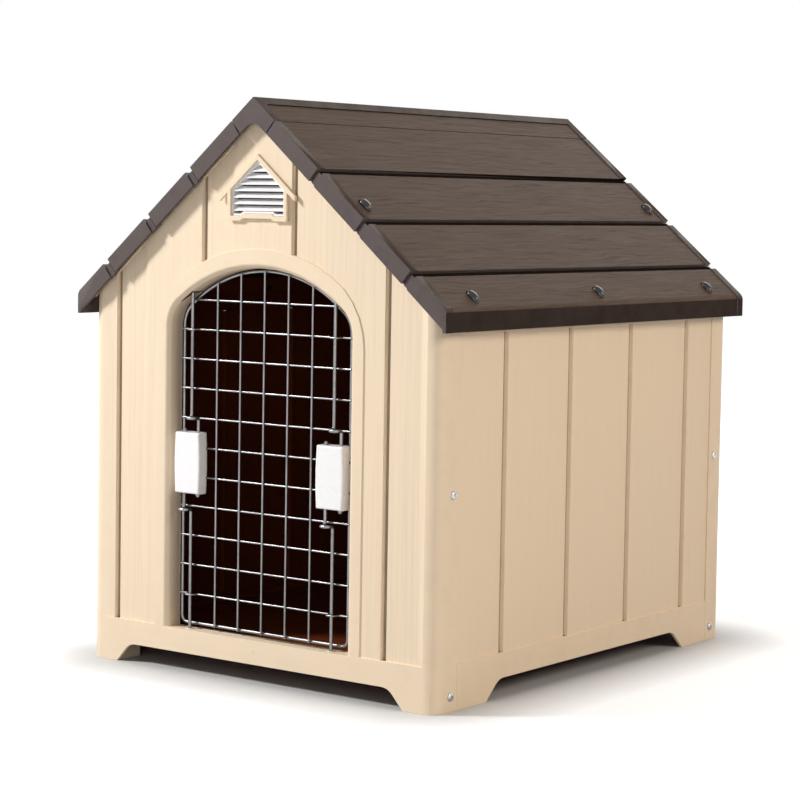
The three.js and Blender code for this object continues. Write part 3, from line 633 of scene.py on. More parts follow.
@dataclass
class EndPanel(Panel):
    """A gable panel, with its planks, rounded corners and, in front, the doorway."""

    lip: float = 1.6 * MM
    lip_half: float = 140 * MM
    lip_top: float = 480 * MM
    lip_depth: float = 5 * MM
    corner_x: float = 235 * MM
    corner_depth: float = 30 * MM
    rib_back: float = 10.6 * MM
    rib_foot: float = 52 * MM

    @property
    def facing(self) -> float:
        """-1 for the front panel and 1 for the back one."""
        return -1.0 if self.node.startswith("front") else 1.0

    def materials(self) -> list[bpy.types.Material]:
        """Plain borders, grained boards, painted shade on the inside and painted shade in the
        grooves.
        """
        return [self.finishes.border, self.finishes.board, self.finishes.inside,
                self.finishes.groove]

    def depth(self, point: Vector) -> float:
        """How far a point is behind the panel's outer plane."""
        return -FRONT_Y - self.facing * point.y

    def zone(self, face: bmesh.types.BMFace) -> int:
        """Boards are sunk below the border, and the inside faces the cabin.

        Args:
            face: a face of the merged copy.

        Returns:
            Its zone.
        """
        centre = face.calc_center_median()
        depth = self.depth(centre)
        out = face.normal.y * self.facing
        inward = out < -LEANS and depth > self.skin
        sideways = face.normal.x * centre.x < 0 and abs(face.normal.x) > LEANS
        rib_side = (abs(out) < LEANS and self.inner_depth < depth < self.rib_back
                    and centre.z > self.rib_foot)
        if (inward and depth < self.corner_depth or sideways and abs(centre.x) > self.corner_x
                or rib_side and abs(centre.x) < self.corner_x):
            return PanelZone.INSIDE
        if out > FACES_OUT and centre.z > PLANK_FOOT:
            return PanelZone.sunk(depth)
        return PanelZone.BORDER

    def rounding(self, edge: bmesh.types.BMEdge) -> float:
        """The doorway's lip is rounder than the planks' steps; the inside stays sharp.

        Args:
            edge: an edge of the merged copy, with a face on each side.

        Returns:
            Its radius, or 0 to leave it sharp.
        """
        if self.hidden(edge):
            return 0.0
        flared = any(LEANS < face.normal.y * self.facing < FACES_OUT
                     and abs(face.calc_center_median().x) < self.lip_half
                     and self.depth(face.calc_center_median()) < self.lip_depth
                     for face in edge.link_faces)
        middle = (edge.verts[0].co + edge.verts[1].co) / 2
        if flared and PLANK_FOOT < middle.z < self.lip_top and self.facing < 0:
            return self.lip
        return self.edge


@dataclass
class SideWall(Panel):
    """A boarded side wall between the end panels' returns."""

    plank_top: float = 409 * MM

    def materials(self) -> list[bpy.types.Material]:
        """Plain borders, grained boards, painted shade on the inside and painted shade in the
        grooves.
        """
        return [self.finishes.border, self.finishes.side_board, self.finishes.inside,
                self.finishes.groove]

    def zone(self, face: bmesh.types.BMFace) -> int:
        """Boards lie between the base band and the eave.

        Args:
            face: a face of the merged copy.

        Returns:
            Its zone.
        """
        centre = face.calc_center_median()
        out = face.normal.x * (1 if centre.x > 0 else -1)
        depth = HALF_WIDTH - abs(centre.x)
        if out < -LEANS and depth > self.skin or out < LEANS and depth > self.inner_depth:
            return PanelZone.INSIDE
        if out > FACES_OUT and PLANK_FOOT < centre.z < self.plank_top:
            return PanelZone.sunk(depth)
        return PanelZone.BORDER


class RoofZone(IntEnum):
    """The parts of the roof that look different, as its material slots."""

    RAKE = 0
    FIELD = 1
    # SKIRT, STRIP and LAP faces get painted shade.
    SKIRT = 2
    STRIP = 3
    LAP = 4


@dataclass
class RoofPiece(Moulding):
    """A roof half or the ridge cap: grained rows inside smooth strips, with painted shade on the
    strips, the laps and the eave's skirt.
    """

    edge: float = 0.3 * MM
    slot: str = "brown_plastic"
    strip: float = 13 * MM
    strip_slack: float = 0.5 * MM
    shortest: float = 14 * MM
    top_depth: float = 3 * MM
    step_depth: float = 4 * MM
    lap_depth: float = 8 * MM
    eave_drop: float = 215 * MM
    sloped: float = 0.6
    upright: float = 0.97

    def materials(self) -> list[bpy.types.Material]:
        """Rake skirts, grained rows, and painted shade on the eave's skirt, the smooth strips and
        the laps.
        """
        return [self.finishes.roof_border, self.finishes.roof_field, self.finishes.roof_skirt_painted_shade,
                self.finishes.roof_strip_painted_shade, self.finishes.roof_lap_painted_shade]

    def depth(self, point: Vector) -> float:
        """How far a point is below the roof's outer plane."""
        return (RIDGE_Z - point.z) * math.cos(PITCH) - abs(point.x) * math.sin(PITCH)

    def zone(self, face: bmesh.types.BMFace) -> int:
        """The rows are grained between the two end strips, down to the bend of the eave.

        Args:
            face: a face of the merged copy.

        Returns:
            Its zone.
        """
        centre = face.calc_center_median()
        side = 1 if centre.x > 0 else -1
        up = face.normal.x * side * math.sin(PITCH) + face.normal.z * math.cos(PITCH)
        end = ROOF_END_Y - self.strip + self.strip_slack
        between = all(abs(vert.co.y) < end for vert in face.verts)
        down = face.normal.x * side * math.cos(PITCH) - face.normal.z * math.sin(PITCH)
        depth = self.depth(centre)
        if face.normal.x * side > self.upright and abs(centre.x) > HALF_WIDTH:
            return RoofZone.SKIRT
        if up > self.sloped and (depth < self.top_depth or centre.z < RIDGE_Z - self.eave_drop):
            return RoofZone.FIELD if between else RoofZone.STRIP
        lap = up > FACES_OUT and depth < self.lap_depth
        step = down > FACES_OUT and depth < self.step_depth
        return RoofZone.LAP if lap or step else RoofZone.RAKE

    def rounding(self, edge: bmesh.types.BMEdge) -> float:
        """The short edges at the laps and those inside the laps stay crisp.

        Args:
            edge: an edge of the merged copy, with a face on each side.

        Returns:
            Its radius, or 0 to leave it sharp.
        """
        if edge.calc_length() < self.shortest:
            return 0.0
        lap = any(self.zone(face) is RoofZone.LAP for face in edge.link_faces)
        return 0.0 if lap else self.edge


@dataclass
class Tray(Moulding):
    """The floor tray, coloured with the painted shade of the inside."""

    def materials(self) -> list[bpy.types.Material]:
        """The inside's painted shade."""
        return [self.finishes.inside]


@dataclass
class WhiteMoulding(Moulding):
    """A glossy white piece: a latch housing or the vent's louvres."""

    slot: str = "white_plastic"

    def materials(self) -> list[bpy.types.Material]:
        """One white plastic."""
        return [self.finishes.white]


# ---------------------------------------------------------------- wire
class WireBender:
    """Feeds round wire forward and bends it, one straight and one bend at a time."""

    def __init__(self, bm: bmesh.types.BMesh, radius: float, start: Vector, heading: Vector,
                 sides: int = 12) -> None:
        """Sets the wire's end ring at its start.

        Args:
            bm: the mesh that takes the wire.
            radius: the wire's radius.
            start: where the wire's axis starts.
            heading: which way it is fed.
            sides: the number of sides of its section.
        """
        self.bm = bm
        self.place = start.copy()
        self.heading = heading.normalized()
        turn = self.heading.to_track_quat("Z", "Y").to_matrix().to_4x4()
        made = bmesh.ops.create_circle(bm, cap_ends=False, segments=sides, radius=radius,
                                       matrix=Matrix.Translation(start) @ turn)
        self.ring = list(made["verts"])
        self.close_end()

    def ring_edges(self) -> list[bmesh.types.BMEdge]:
        """The edges of the present end ring, in a repeatable order.

        Returns:
            The edges.
        """
        verts = set(self.ring)
        self.bm.edges.index_update()
        edges = {edge for vert in self.ring for edge in vert.link_edges
                 if edge.verts[0] in verts and edge.verts[1] in verts}
        return sorted(edges, key=lambda edge: edge.index)

    def close_end(self) -> None:
        """Closes the wire's end with a flat face."""
        bmesh.ops.contextual_create(self.bm, geom=self.ring_edges())

    def straight(self, length: float) -> None:
        """Feeds the wire straight forward.

        Args:
            length: how far.
        """
        if length <= NO_FEED:
            return
        made = bmesh.ops.extrude_edge_only(self.bm, edges=self.ring_edges())
        self.ring = [item for item in made["geom"] if isinstance(item, bmesh.types.BMVert)]
        bmesh.ops.translate(self.bm, verts=self.ring, vec=self.heading * length)
        self.place += self.heading * length

    def bend(self, radius: float, heading: Vector, steps: int = 6) -> None:
        """Bends the wire round until it heads another way.

        Args:
            radius: the bend's radius, at the wire's axis.
            heading: the new direction.
            steps: the number of rings along the bend.
        """
        target = heading.normalized()
        axis = self.heading.cross(target).normalized()
        angle = self.heading.angle(target)
        centre = self.place + axis.cross(self.heading) * radius
        made = bmesh.ops.spin(self.bm, geom=self.ring + self.ring_edges(), cent=centre,
                              axis=axis, dvec=(0, 0, 0), angle=angle, steps=steps,
                              use_merge=False, use_normal_flip=False, use_duplicate=False)
        self.ring = [item for item in made["geom_last"] if isinstance(item, bmesh.types.BMVert)]
        self.place = centre + Matrix.Rotation(angle, 3, axis) @ (self.place - centre)
        self.heading = target

    def follow(self, points: Sequence[Vector], radius: float, steps: int = 6) -> None:
        """Runs through points, with a bend at each inner one, and closes the far end.

        Args:
            points: the corners after the start, in order.
            radius: the radius of every bend.
            steps: the number of rings along each bend.
        """
        corners = [self.place.copy(), *points]
        used = 0.0
        for i in range(1, len(corners) - 1):
            before = corners[i] - corners[i - 1]
            after = corners[i + 1] - corners[i]
            setback = radius * math.tan(before.angle(after) / 2)
            self.straight(before.length - used - setback)
            self.bend(radius, after, steps)
            used = setback
        self.straight((corners[-1] - corners[-2]).length - used)
        self.close_end()


def turned(bm: bmesh.types.BMesh, profile: Sequence[tuple[float, float]], axis_point: Vector,
           axis: Vector, steps: int = 24) -> None:
    """Turns a profile into a round piece, as on a lathe.

    Args:
        bm: the mesh that takes the piece.
        profile: pairs of radius and height along the axis, from low to high.
        axis_point: the axis at height 0.
        axis: the axis direction.
        steps: the number of sides.
    """
    frame_turn = axis.to_track_quat("Z", "Y").to_matrix().to_4x4()
    place = Matrix.Translation(axis_point) @ frame_turn
    verts = [bm.verts.new(place @ Vector((radius, 0, height))) for radius, height in profile]
    edges = [bm.edges.new(pair) for pair in zip(verts, verts[1:])]
    bmesh.ops.spin(bm, geom=verts + edges, cent=axis_point, axis=axis, dvec=(0, 0, 0),
                   angle=2 * math.pi, steps=steps, use_merge=True, use_normal_flip=False,
                   use_duplicate=False)
    bmesh.ops.remove_doubles(bm, verts=bm.verts, dist=WELD)


@dataclass
class WireDoor:
    """The welded grille: frame wire, uprights and cross wires."""

    finishes: Finishes
    half: float = 123 * MM
    top: float = 469 * MM
    bottom: float = 56 * MM
    arch: float = 170 * MM
    shoulder: float = 30 * MM
    corner: float = 8 * MM
    wire_y: float = FRONT_Y + 15 * MM
    frame_radius: float = 1.9 * MM
    frame_back: float = 2 * MM
    wire_radius: float = 1.2 * MM
    upright_radius: float = 1.3 * MM
    upright_pitch: float = 35 * MM
    upright_front: float = 1.4 * MM
    cross_pitch: float = 34.3 * MM
    cross_drop: float = 35.6 * MM
    cross_count: int = 11
    cross_over: float = 1.4 * MM
    guide_rows: tuple[int, int] = (1, 10)
    guide_half: float = 4.6 * MM
    guide_ramp: float = 2.4 * MM
    guide_front: float = 3.5 * MM
    guide_bend: float = 1.6 * MM
    weld_radius: float = 1.55 * MM
    weld_flatness: float = 0.55
    arch_steps: int = 14
    shoulder_steps: int = 10

    def reach(self, z: float) -> float:
        """Half the frame's width at a height, under its arch."""
        rise = z - (self.top - self.arch)
        return min(self.half, math.sqrt(max(self.arch ** 2 - rise ** 2, 0.0)))

    def frame_wire(self, bm: bmesh.types.BMesh) -> None:
        """The frame: up one side, over the arch and back along the bottom.

        Args:
            bm: the mesh that takes the wire.
        """
        y = self.wire_y + self.frame_back
        shoulder_x = self.half - self.shoulder
        centre_z = self.top - self.arch
        rise = math.sqrt((self.arch - self.shoulder) ** 2 - shoulder_x ** 2)
        lean = math.atan2(rise, shoulder_x)
        bender = WireBender(bm, self.frame_radius, Vector((0, y, self.bottom)),
                            Vector((1, 0, 0)))
        bender.straight(self.half - self.corner)
        bender.bend(self.corner, Vector((0, 0, 1)))
        bender.straight(centre_z + rise - self.bottom - self.corner)
        bender.bend(self.shoulder, Vector((-math.sin(lean), 0, math.cos(lean))),
                    self.shoulder_steps)
        bender.bend(self.arch, Vector((-1, 0, 0)), self.arch_steps)
        bender.bend(self.arch, Vector((-math.sin(lean), 0, -math.cos(lean))),
                    self.arch_steps)
        bender.bend(self.shoulder, Vector((0, 0, -1)), self.shoulder_steps)
        bender.straight(centre_z + rise - self.bottom - self.corner)
        bender.bend(self.corner, Vector((1, 0, 0)))
        bender.straight(self.half - self.corner)
        bender.close_end()

    def cross_wire(self, bm: bmesh.types.BMesh, row: int) -> None:
        """One cross wire, which two of the rows bend forward round the rods.

        Args:
            bm: the mesh that takes the wire.
            row: which cross wire, counted from the top.
        """
        z = self.top - self.cross_drop - row * self.cross_pitch
        end = self.reach(z) if row == 0 else self.half + self.cross_over
        loop_y = ROD_Y - self.guide_front
        points = []
        if row in self.guide_rows:
            for x in (-ROD_X, ROD_X):
                out = self.guide_half + self.guide_ramp
                points += [(x - out, self.wire_y), (x - self.guide_half, loop_y),
                           (x + self.guide_half, loop_y), (x + out, self.wire_y)]
        points.append((end, self.wire_y))
        bender = WireBender(bm, self.wire_radius, Vector((-end, self.wire_y, z)),
                            Vector((1, 0, 0)), 10)
        bender.follow([Vector((x, y, z)) for x, y in points], self.guide_bend, 3)

    def upright(self, bm: bmesh.types.BMesh, x: float) -> None:
        """One upright in front of the cross wires, from the bottom to the arch.

        Args:
            bm: the mesh that takes the wire.
            x: where it stands.
        """
        top = self.top - self.arch + math.sqrt(self.arch ** 2 - x ** 2)
        start = Vector((x, self.wire_y - self.upright_front, self.bottom - self.upright_radius))
        bender = WireBender(bm, self.upright_radius, start, Vector((0, 0, 1)), 10)
        bender.straight(top - start.z)
        bender.close_end()

    def welds(self, bm: bmesh.types.BMesh, x: float) -> None:
        """The small melted spots where an upright crosses the cross wires.

        Args:
            bm: the mesh that takes the wire.
            x: where the upright stands.
        """
        for row in range(self.cross_count):
            z = self.top - self.cross_drop - row * self.cross_pitch
            spot = Matrix.Translation((x, self.wire_y - self.upright_front / 2, z))
            flat = Matrix.Diagonal((1.0, self.weld_flatness, 1.0, 1.0))
            bmesh.ops.create_icosphere(bm, subdivisions=1, radius=self.weld_radius,
                                       matrix=spot @ flat)

    def build(self) -> bpy.types.Object:
        """Builds the grille and puts it on the door.

        Returns:
            The finished grille.
        """
        bm = bmesh.new()
        self.frame_wire(bm)
        for row in range(self.cross_count):
            self.cross_wire(bm, row)
        for place in range(-2, 3):
            self.upright(bm, place * self.upright_pitch)
            self.welds(bm, place * self.upright_pitch)
        obj = finished(bm, "door_wires", [self.finishes.zinc])
        settle(obj, "door", "zinc_wire", "door_grille")
        return obj


@dataclass
class SprungRod:
    """A cranked rod that runs in its latch and stands in a hole in the doorway."""

    finishes: Finishes
    hand: Hand
    level: Level
    radius: float = 2 * MM
    bend: float = 4 * MM
    leg_offset: float = 10.6 * MM
    pull: float = 10 * MM
    upper_crank: float = 297 * MM
    lower_crank: float = 190 * MM
    middle: float = 244.5 * MM
    latch_half: float = 35.5 * MM
    nub_radius: float = 2.9 * MM
    nub_height: float = 2.6 * MM
    nub_foot: float = 0.4 * MM
    nub_crown: float = 0.6 * MM
    tip_over: float = 1 * MM
    collar_radius: float = 3.3 * MM
    collar_height: float = 1.6 * MM
    collar_lift: float = 7.5 * MM

    @property
    def node(self) -> str:
        """The CAD node of this rod."""
        return f"rod_{self.hand.value}_{self.level.value}"

    def build(self) -> bpy.types.Object:
        """Bends the rod, turns its nub and collar, and puts it on its own body.

        Returns:
            The finished rod.
        """
        low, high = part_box(self.node)
        upper = self.level is Level.UPPER
        x = ROD_X if self.hand is Hand.RIGHT else -ROD_X
        leg_x = x + (self.leg_offset if upper else -self.leg_offset)
        away = -1 if upper else 1
        end = high[2] if upper else low[2]
        crank = self.upper_crank if upper else self.lower_crank
        tip = self.middle + away * (self.latch_half + GAP + self.nub_height + self.tip_over)
        pull_y = ROD_Y - self.pull
        bm = bmesh.new()
        bender = WireBender(bm, self.radius, Vector((x, ROD_Y, end)),
                            Vector((0, 0, crank - end)), 16)
        corners = [(x, ROD_Y, crank), (x, pull_y, crank), (leg_x, pull_y, crank),
                   (leg_x, ROD_Y, crank), (leg_x, ROD_Y, tip)]
        bender.follow([Vector(corner) for corner in corners], self.bend, 7)
        nub = self.middle + away * (self.latch_half + GAP)
        radius, height, foot, crown = (self.nub_radius, self.nub_height, self.nub_foot,
                                       self.nub_crown)
        turned(bm, [(0, 0), (radius - foot, 0), (radius, foot), (radius, height - crown),
                    (radius - crown, height), (0, height)], Vector((leg_x, ROD_Y, nub)),
               Vector((0, 0, away)))
        collar = self.middle - away * self.collar_lift
        turned(bm, [(0, 0), (self.collar_radius, 0), (self.collar_radius, self.collar_height),
                    (0, self.collar_height)], Vector((leg_x, ROD_Y, collar)),
               Vector((0, 0, -away)))
        obj = finished(bm, self.node + "_bent", [self.finishes.zinc])
        settle(obj, self.node + "_body", "zinc_wire", self.node)
        return obj


@dataclass
class RoofLock:
    """A quarter-turn lock: a lens-shaped fin on a shank with a cross bar."""

    finishes: Finishes
    number: int
    length: float = 20 * MM
    width: float = 11 * MM
    height: float = 6.4 * MM
    shank: float = 2.8 * MM
    bar: float = 12 * MM
    bar_thickness: float = 2.5 * MM
    bar_slack: float = 0.6 * MM
    bar_round: float = 0.4 * MM
    recess: float = 1.3 * MM
    reach: float = 14.7 * MM
    shank_over: float = 1 * MM
    shank_top: float = 0.5 * MM
    upper: float = 184 * MM
    eave_inset: float = 18.3 * MM
    end_inset: float = 14.5 * MM
    spread: float = 255 * MM

    def place(self) -> Matrix:
        """Where the lock stands on its slope, with X down the slope and Z out of it.

        Returns:
            The lock's place and turn.
        """
        end = -FRONT_Y - self.end_inset
        lower = SLOPE_LENGTH - self.eave_inset
        spots = [(self.upper, -end), (self.upper, end), (lower, -self.spread), (lower, 0.0),
                 (lower, self.spread)]
        s, y = spots[(self.number - 1) % 5]
        x = s * math.cos(PITCH) - self.recess * math.sin(PITCH)
        z = RIDGE_Z - s * math.sin(PITCH) - self.recess * math.cos(PITCH)
        right = Matrix.Translation((x, y, z)) @ Matrix.Rotation(PITCH, 4, "Y")
        return right if self.number <= 5 else Matrix.Rotation(math.pi, 4, "Z") @ right

    def build(self) -> bpy.types.Object:
        """Builds the lock on its own body.

        Returns:
            The finished lock.
        """
        bm = bmesh.new()
        made = bmesh.ops.create_uvsphere(bm, u_segments=32, v_segments=20, radius=1.0)
        bmesh.ops.scale(bm, verts=made["verts"],
                        vec=(self.length / 2, self.width / 2, self.height))
        cut = bmesh.ops.bisect_plane(bm, geom=bm.verts[:] + bm.edges[:] + bm.faces[:],
                                     plane_co=(0, 0, GAP), plane_no=(0, 0, -1),
                                     clear_outer=True)
        rim = [item for item in cut["geom_cut"] if isinstance(item, bmesh.types.BMEdge)]
        bmesh.ops.contextual_create(bm, geom=rim)
        foot = -self.reach - self.shank_over
        turned(bm, [(0, foot), (self.shank, foot), (self.shank, self.shank_top),
                    (0, self.shank_top)], Vector((0, 0, 0)), Vector((0, 0, 1)), 16)
        size = (2 * self.shank - self.bar_slack, self.bar, self.bar_thickness, 1.0)
        middle = Matrix.Translation((0, 0, -self.reach - self.bar_thickness / 2))
        cross = bmesh.ops.create_cube(bm, size=1.0, matrix=middle @ Matrix.Diagonal(size))
        edges = {edge for vert in cross["verts"] for edge in vert.link_edges}
        bm.edges.index_update()
        bmesh.ops.bevel(bm, geom=sorted(edges, key=lambda e: e.index),
                        offset=self.bar_round,
                        affect="EDGES", segments=2, profile=0.5, material=-1)
        bmesh.ops.transform(bm, matrix=self.place(), verts=bm.verts)
        name = f"roof_lock_{self.number}"
        obj = finished(bm, name + "_fin", [self.finishes.lock], 55.0)
        settle(obj, name + "_body", "dark_plastic", name)
        return obj


@dataclass
class CornerScrew:
    """A pan-head screw with a cross recess, through a corner return."""

    finishes: Finishes
    number: int
    head: float = 5 * MM
    dome: float = 2.6 * MM
    shank: float = 2 * MM
    length: float = 13 * MM
    inset: float = 28.7 * MM
    heights: tuple[float, float] = (17 * MM, 236 * MM)
    point: float = 0.3
    point_length: float = 3 * MM
    rim: float = 0.8 * MM
    crown: tuple[tuple[float, float], ...] = ((0.96, 0.48), (0.86, 0.68), (0.68, 0.85),
                                              (0.42, 0.97))
    slot_size: tuple[float, float, float] = (5.4 * MM, 1.1 * MM, 3.0 * MM)
    slot_taper: float = 0.55
    first_turn: float = 0.5
    next_turn: float = 0.9

    def blank(self) -> bpy.types.Object:
        """The screw before its recess is pressed, standing on Z.

        Returns:
            The blank.
        """
        bm = bmesh.new()
        crown = [(self.head * out, self.dome * up) for out, up in self.crown]
        turned(bm, [(0, -self.length), (self.shank * self.point, -self.length),
                    (self.shank, -self.length + self.point_length), (self.shank, GAP),
                    (self.head, GAP), (self.head, self.rim), *crown, (0, self.dome)],
               Vector((0, 0, 0)), Vector((0, 0, 1)), 28)
        return finished(bm, "screw_blank", [self.finishes.screw])

    def punch(self) -> bpy.types.Object:
        """The cross-shaped punch that presses the recess.

        Returns:
            The punch.
        """
        bm = bmesh.new()
        for turn in (0.0, math.pi / 2):
            size = Matrix.Diagonal((*self.slot_size, 1.0))
            place = Matrix.Rotation(turn, 4, "Z") @ Matrix.Translation((0, 0, self.dome))
            bmesh.ops.create_cube(bm, size=1.0, matrix=place @ size)
        low = [vert for vert in bm.verts if vert.co.z < self.dome]
        bmesh.ops.scale(bm, verts=low, vec=(self.slot_taper, self.slot_taper, 1.0))
        return finished(bm, "screw_punch", [self.finishes.screw])

    def build(self) -> bpy.types.Object:
        """Presses the recess, and puts the screw in its corner.

        Returns:
            The finished screw.
        """
        blank, punch = self.blank(), self.punch()
        press = blank.modifiers.new("recess", "BOOLEAN")
        press.operation = "DIFFERENCE"
        press.solver = "EXACT"
        press.use_self = True
        press.object = punch
        pressed = blank.evaluated_get(bpy.context.evaluated_depsgraph_get())
        bm = bmesh.new()
        bm.from_mesh(pressed.data)
        for tool in (blank, punch):
            mesh = tool.data
            bpy.data.objects.remove(tool)
            bpy.data.meshes.remove(mesh)
        index = self.number - 1
        side = 1 if index < 4 else -1
        end = -1 if index % 4 < 2 else 1
        spot = (side * HALF_WIDTH, end * (-FRONT_Y - self.inset), self.heights[index % 2])
        place = (Matrix.Translation(spot) @ Matrix.Rotation(side * math.pi / 2, 4, "Y")
                 @ Matrix.Rotation(self.first_turn + self.next_turn * index, 4, "Z"))
        bmesh.ops.transform(bm, matrix=place, verts=bm.verts)
        node = f"corner_screw_{self.number}"
        obj = finished(bm, node + "_pressed", [self.finishes.screw], 35.0)
        settle(obj, "kennel", "zinc_wire", node)
        return obj


@dataclass
class SmallMouldings:
    """Low rings moulded on the front panel: bosses round the sill's rod holes, gate marks."""

    finishes: Finishes
    sill: float = 50 * MM
    sunk: float = -0.2 * MM
    boss: tuple[float, float, float] = (2.6 * MM, 4.6 * MM, 0.9 * MM)
    mark: tuple[float, float, float] = (1.2 * MM, 1.9 * MM, 0.25 * MM)
    sill_mark: tuple[float, float, float] = (0.0, FRONT_Y, 37.4 * MM)
    vent_mark: tuple[float, float, float] = (4 * MM, FRONT_Y + 1.5 * MM, 521.5 * MM)

    def ring(self, name: str, place: Vector, axis: Vector, inner: float, outer: float,
             height: float) -> None:
        """Adds one low ring.

        Args:
            name: the piece's name.
            place: its centre, on the surface that carries it.
            axis: the way it stands out.
            inner: its inner radius.
            outer: its outer radius.
            height: how far it stands out.
        """
        bm = bmesh.new()
        soft = min(0.3 * height, 0.2 * (outer - inner))
        turned(bm, [(inner, self.sunk), (outer, self.sunk), (outer, height - soft),
                    (outer - soft, height), (inner + soft, height), (inner, height - soft),
                    (inner, self.sunk)], place, axis, 28)
        obj = finished(bm, name, [self.finishes.border])
        settle(obj, "kennel", "beige_plastic")

    def build(self) -> None:
        """Adds the bosses and the gate marks."""
        for hand, x in ((Hand.LEFT, -ROD_X), (Hand.RIGHT, ROD_X)):
            self.ring(f"sill_boss_{hand.value}", Vector((x, ROD_Y, self.sill)),
                      Vector((0, 0, 1)), *self.boss)
        for name, spot in (("gate_mark_sill", self.sill_mark), ("gate_mark_vent", self.vent_mark)):
            self.ring(name, Vector(spot), Vector((0, -1, 0)), *self.mark)


# ---------------------------------------------------------------- studio
@dataclass(frozen=True)
class Softbox:
    """One soft lamp, aimed at a point."""

    name: str
    place: tuple[float, float, float]
    aim: tuple[float, float, float]
    size: tuple[float, float]
    power: float
    colour: Colour = (1.0, 1.0, 1.0)

    def build(self) -> None:
        """Hangs the lamp."""
        lamp = bpy.data.lights.new(self.name, "AREA")
        lamp.shape = "RECTANGLE"
        lamp.size, lamp.size_y = self.size
        lamp.energy = self.power
        lamp.color = self.colour
        obj = bpy.data.objects.new(self.name, lamp)
        heading = Vector(self.aim) - Vector(self.place)
        obj.matrix_world = (Matrix.Translation(self.place)
                            @ heading.to_track_quat("-Z", "Y").to_matrix().to_4x4())
        bpy.context.scene.collection.objects.link(obj)


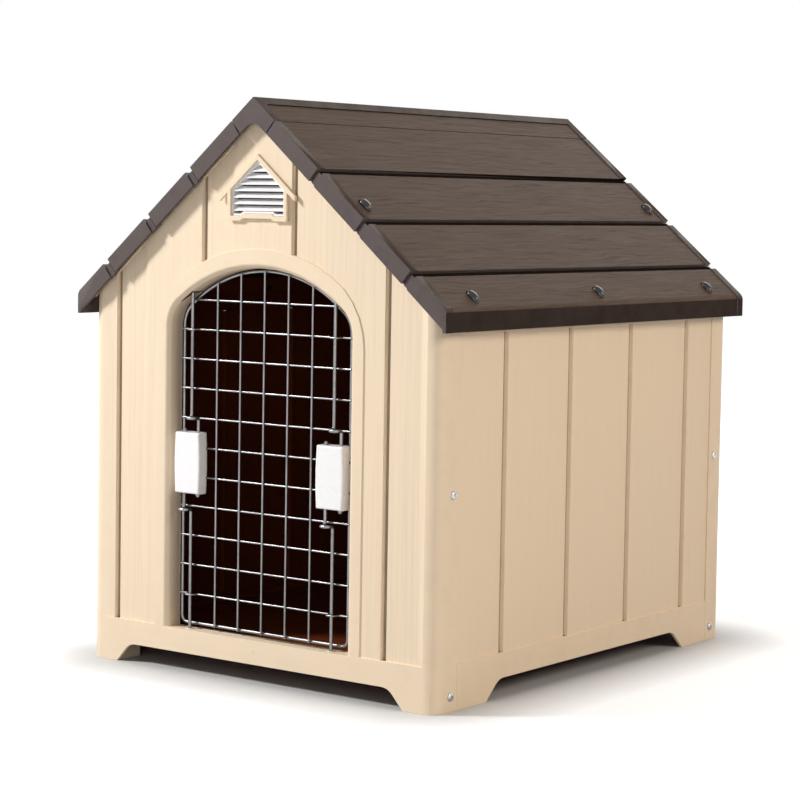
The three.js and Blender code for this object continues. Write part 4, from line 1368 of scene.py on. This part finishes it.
@dataclass
class Studio:
    """Floor, lamps, surroundings and the camera."""

    finishes: Finishes
    ambient: float = 0.16
    camera_place: tuple[float, float, float] = (1.69409, -2.31231, 0.54717)
    yaw: float = math.radians(37.016)
    dip: float = math.radians(3.861)
    roll: float = math.radians(0.892)
    lens: float = 104.87
    sensor: float = 36.0
    far_clip: float = 50.0
    shift: tuple[float, float] = (0.0144, -0.0486)
    floor_radius: float = 9.0
    softboxes: tuple[Softbox, ...] = (
        Softbox("key", (-2.01, -1.98, 2.19), (0.0, -0.3, 0.35), (0.5, 0.5), 109.0),
        Softbox("back_top", (-0.3, 2.6, 2.2), (0.0, 0.0, 0.4), (2.4, 1.6), 40.0),
        Softbox("side_fill", (2.9, -0.25, 1.8), (0.25, 0.0, 0.25), (1.3, 1.3), 43.0,
                (1.0, 0.87, 0.74)),
        Softbox("front_fill", (1.4, -2.9, 0.7), (0.0, -0.3, 0.3), (1.2, 1.2), 11.0),
    )

    def camera(self) -> None:
        """Sets the camera where the kennel is seen from."""
        data = bpy.data.cameras.new("camera")
        data.sensor_fit = "HORIZONTAL"
        data.sensor_width = self.sensor
        data.lens = self.lens
        data.shift_x, data.shift_y = self.shift
        data.clip_end = self.far_clip
        ahead = Vector((-math.sin(self.yaw) * math.cos(self.dip),
                        math.cos(self.yaw) * math.cos(self.dip), -math.sin(self.dip)))
        right = ahead.cross(Vector((0, 0, 1))).normalized()
        up = right.cross(ahead)
        across = right * math.cos(self.roll) + up * math.sin(self.roll)
        above = up * math.cos(self.roll) - right * math.sin(self.roll)
        turn = Matrix((across, above, -ahead)).transposed().to_4x4()
        obj = bpy.data.objects.new("camera", data)
        obj.matrix_world = Matrix.Translation(self.camera_place) @ turn
        bpy.context.scene.collection.objects.link(obj)
        bpy.context.scene.camera = obj

    def floor(self) -> None:
        """Lays the floor."""
        bm = bmesh.new()
        bmesh.ops.create_circle(bm, cap_ends=True, segments=64,
                                radius=self.floor_radius)
        obj = finished(bm, "studio_floor", [self.finishes.floor])

    def surroundings(self) -> None:
        """White to the eye and in reflections, and a plain level of light elsewhere."""
        world = bpy.data.worlds.new("studio")
        world.use_nodes = True
        nodes, links = world.node_tree.nodes, world.node_tree.links
        nodes.clear()
        path = nodes.new("ShaderNodeLightPath")
        seen = nodes.new("ShaderNodeMath")
        seen.operation = "MAXIMUM"
        links.new(path.outputs["Is Camera Ray"], seen.inputs[0])
        other = nodes.new("ShaderNodeMath")
        other.operation = "MAXIMUM"
        links.new(path.outputs["Is Glossy Ray"], other.inputs[0])
        links.new(path.outputs["Is Transmission Ray"], other.inputs[1])
        links.new(other.outputs[0], seen.inputs[1])
        level = nodes.new("ShaderNodeMapRange")
        level.inputs[3].default_value = self.ambient
        level.inputs[4].default_value = 1.0
        links.new(seen.outputs[0], level.inputs[0])
        light = nodes.new("ShaderNodeBackground")
        light.inputs["Color"].default_value = (1.0, 1.0, 1.0, 1.0)
        links.new(level.outputs["Result"], light.inputs["Strength"])
        output = nodes.new("ShaderNodeOutputWorld")
        links.new(light.outputs["Background"], output.inputs["Surface"])
        bpy.context.scene.world = world

    def build(self) -> None:
        """Sets the whole studio up."""
        self.camera()
        self.floor()
        self.surroundings()
        for softbox in self.softboxes:
            softbox.build()
        bpy.context.scene.view_settings.view_transform = "Standard"


def dress_springs(finishes: Finishes) -> None:
    """Gives the coil springs inside the latches their zinc finish.

    Args:
        finishes: the kennel's materials.
    """
    for hand in Hand:
        for level in Level:
            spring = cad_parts[f"spring_{hand.value}_{level.value}"]
            for slot in spring.material_slots:
                slot.link = "OBJECT"
                slot.material = finishes.zinc
            LOG.info("%s: dressed", spring.name)


def main() -> None:
    """Builds the kennel piece by piece, then the studio."""
    logging.basicConfig(level=logging.INFO, format="%(name)s %(message)s")
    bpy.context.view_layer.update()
    finishes = Finishes()
    builders: list[Callable[[], object]] = [
        EndPanel("front_panel", finishes).build,
        EndPanel("back_panel", finishes).build,
        SideWall("right_wall", finishes).build,
        SideWall("left_wall", finishes).build,
        Tray("floor_panel", finishes).build,
        RoofPiece("roof_right", finishes).build,
        RoofPiece("roof_left", finishes).build,
        RoofPiece("ridge_cap", finishes).build,
        Moulding("vent_frame", finishes).build,
        WhiteMoulding("vent_louvres", finishes, edge=0.0).build,
        SmallMouldings(finishes).build,
        WireDoor(finishes).build,
    ]
    for hand in Hand:
        builders += [WhiteMoulding(f"latch_{part}_{hand.value}", finishes, body="door").build
                     for part in ("shell", "cover")]
        builders += [SprungRod(finishes, hand, level).build for level in Level]
    builders += [RoofLock(finishes, number).build for number in range(1, 11)]
    builders += [CornerScrew(finishes, number).build for number in range(1, 9)]
    for build in builders:
        build()
    dress_springs(finishes)
    Studio(finishes).build()


if __name__ == "__main__":
    main()
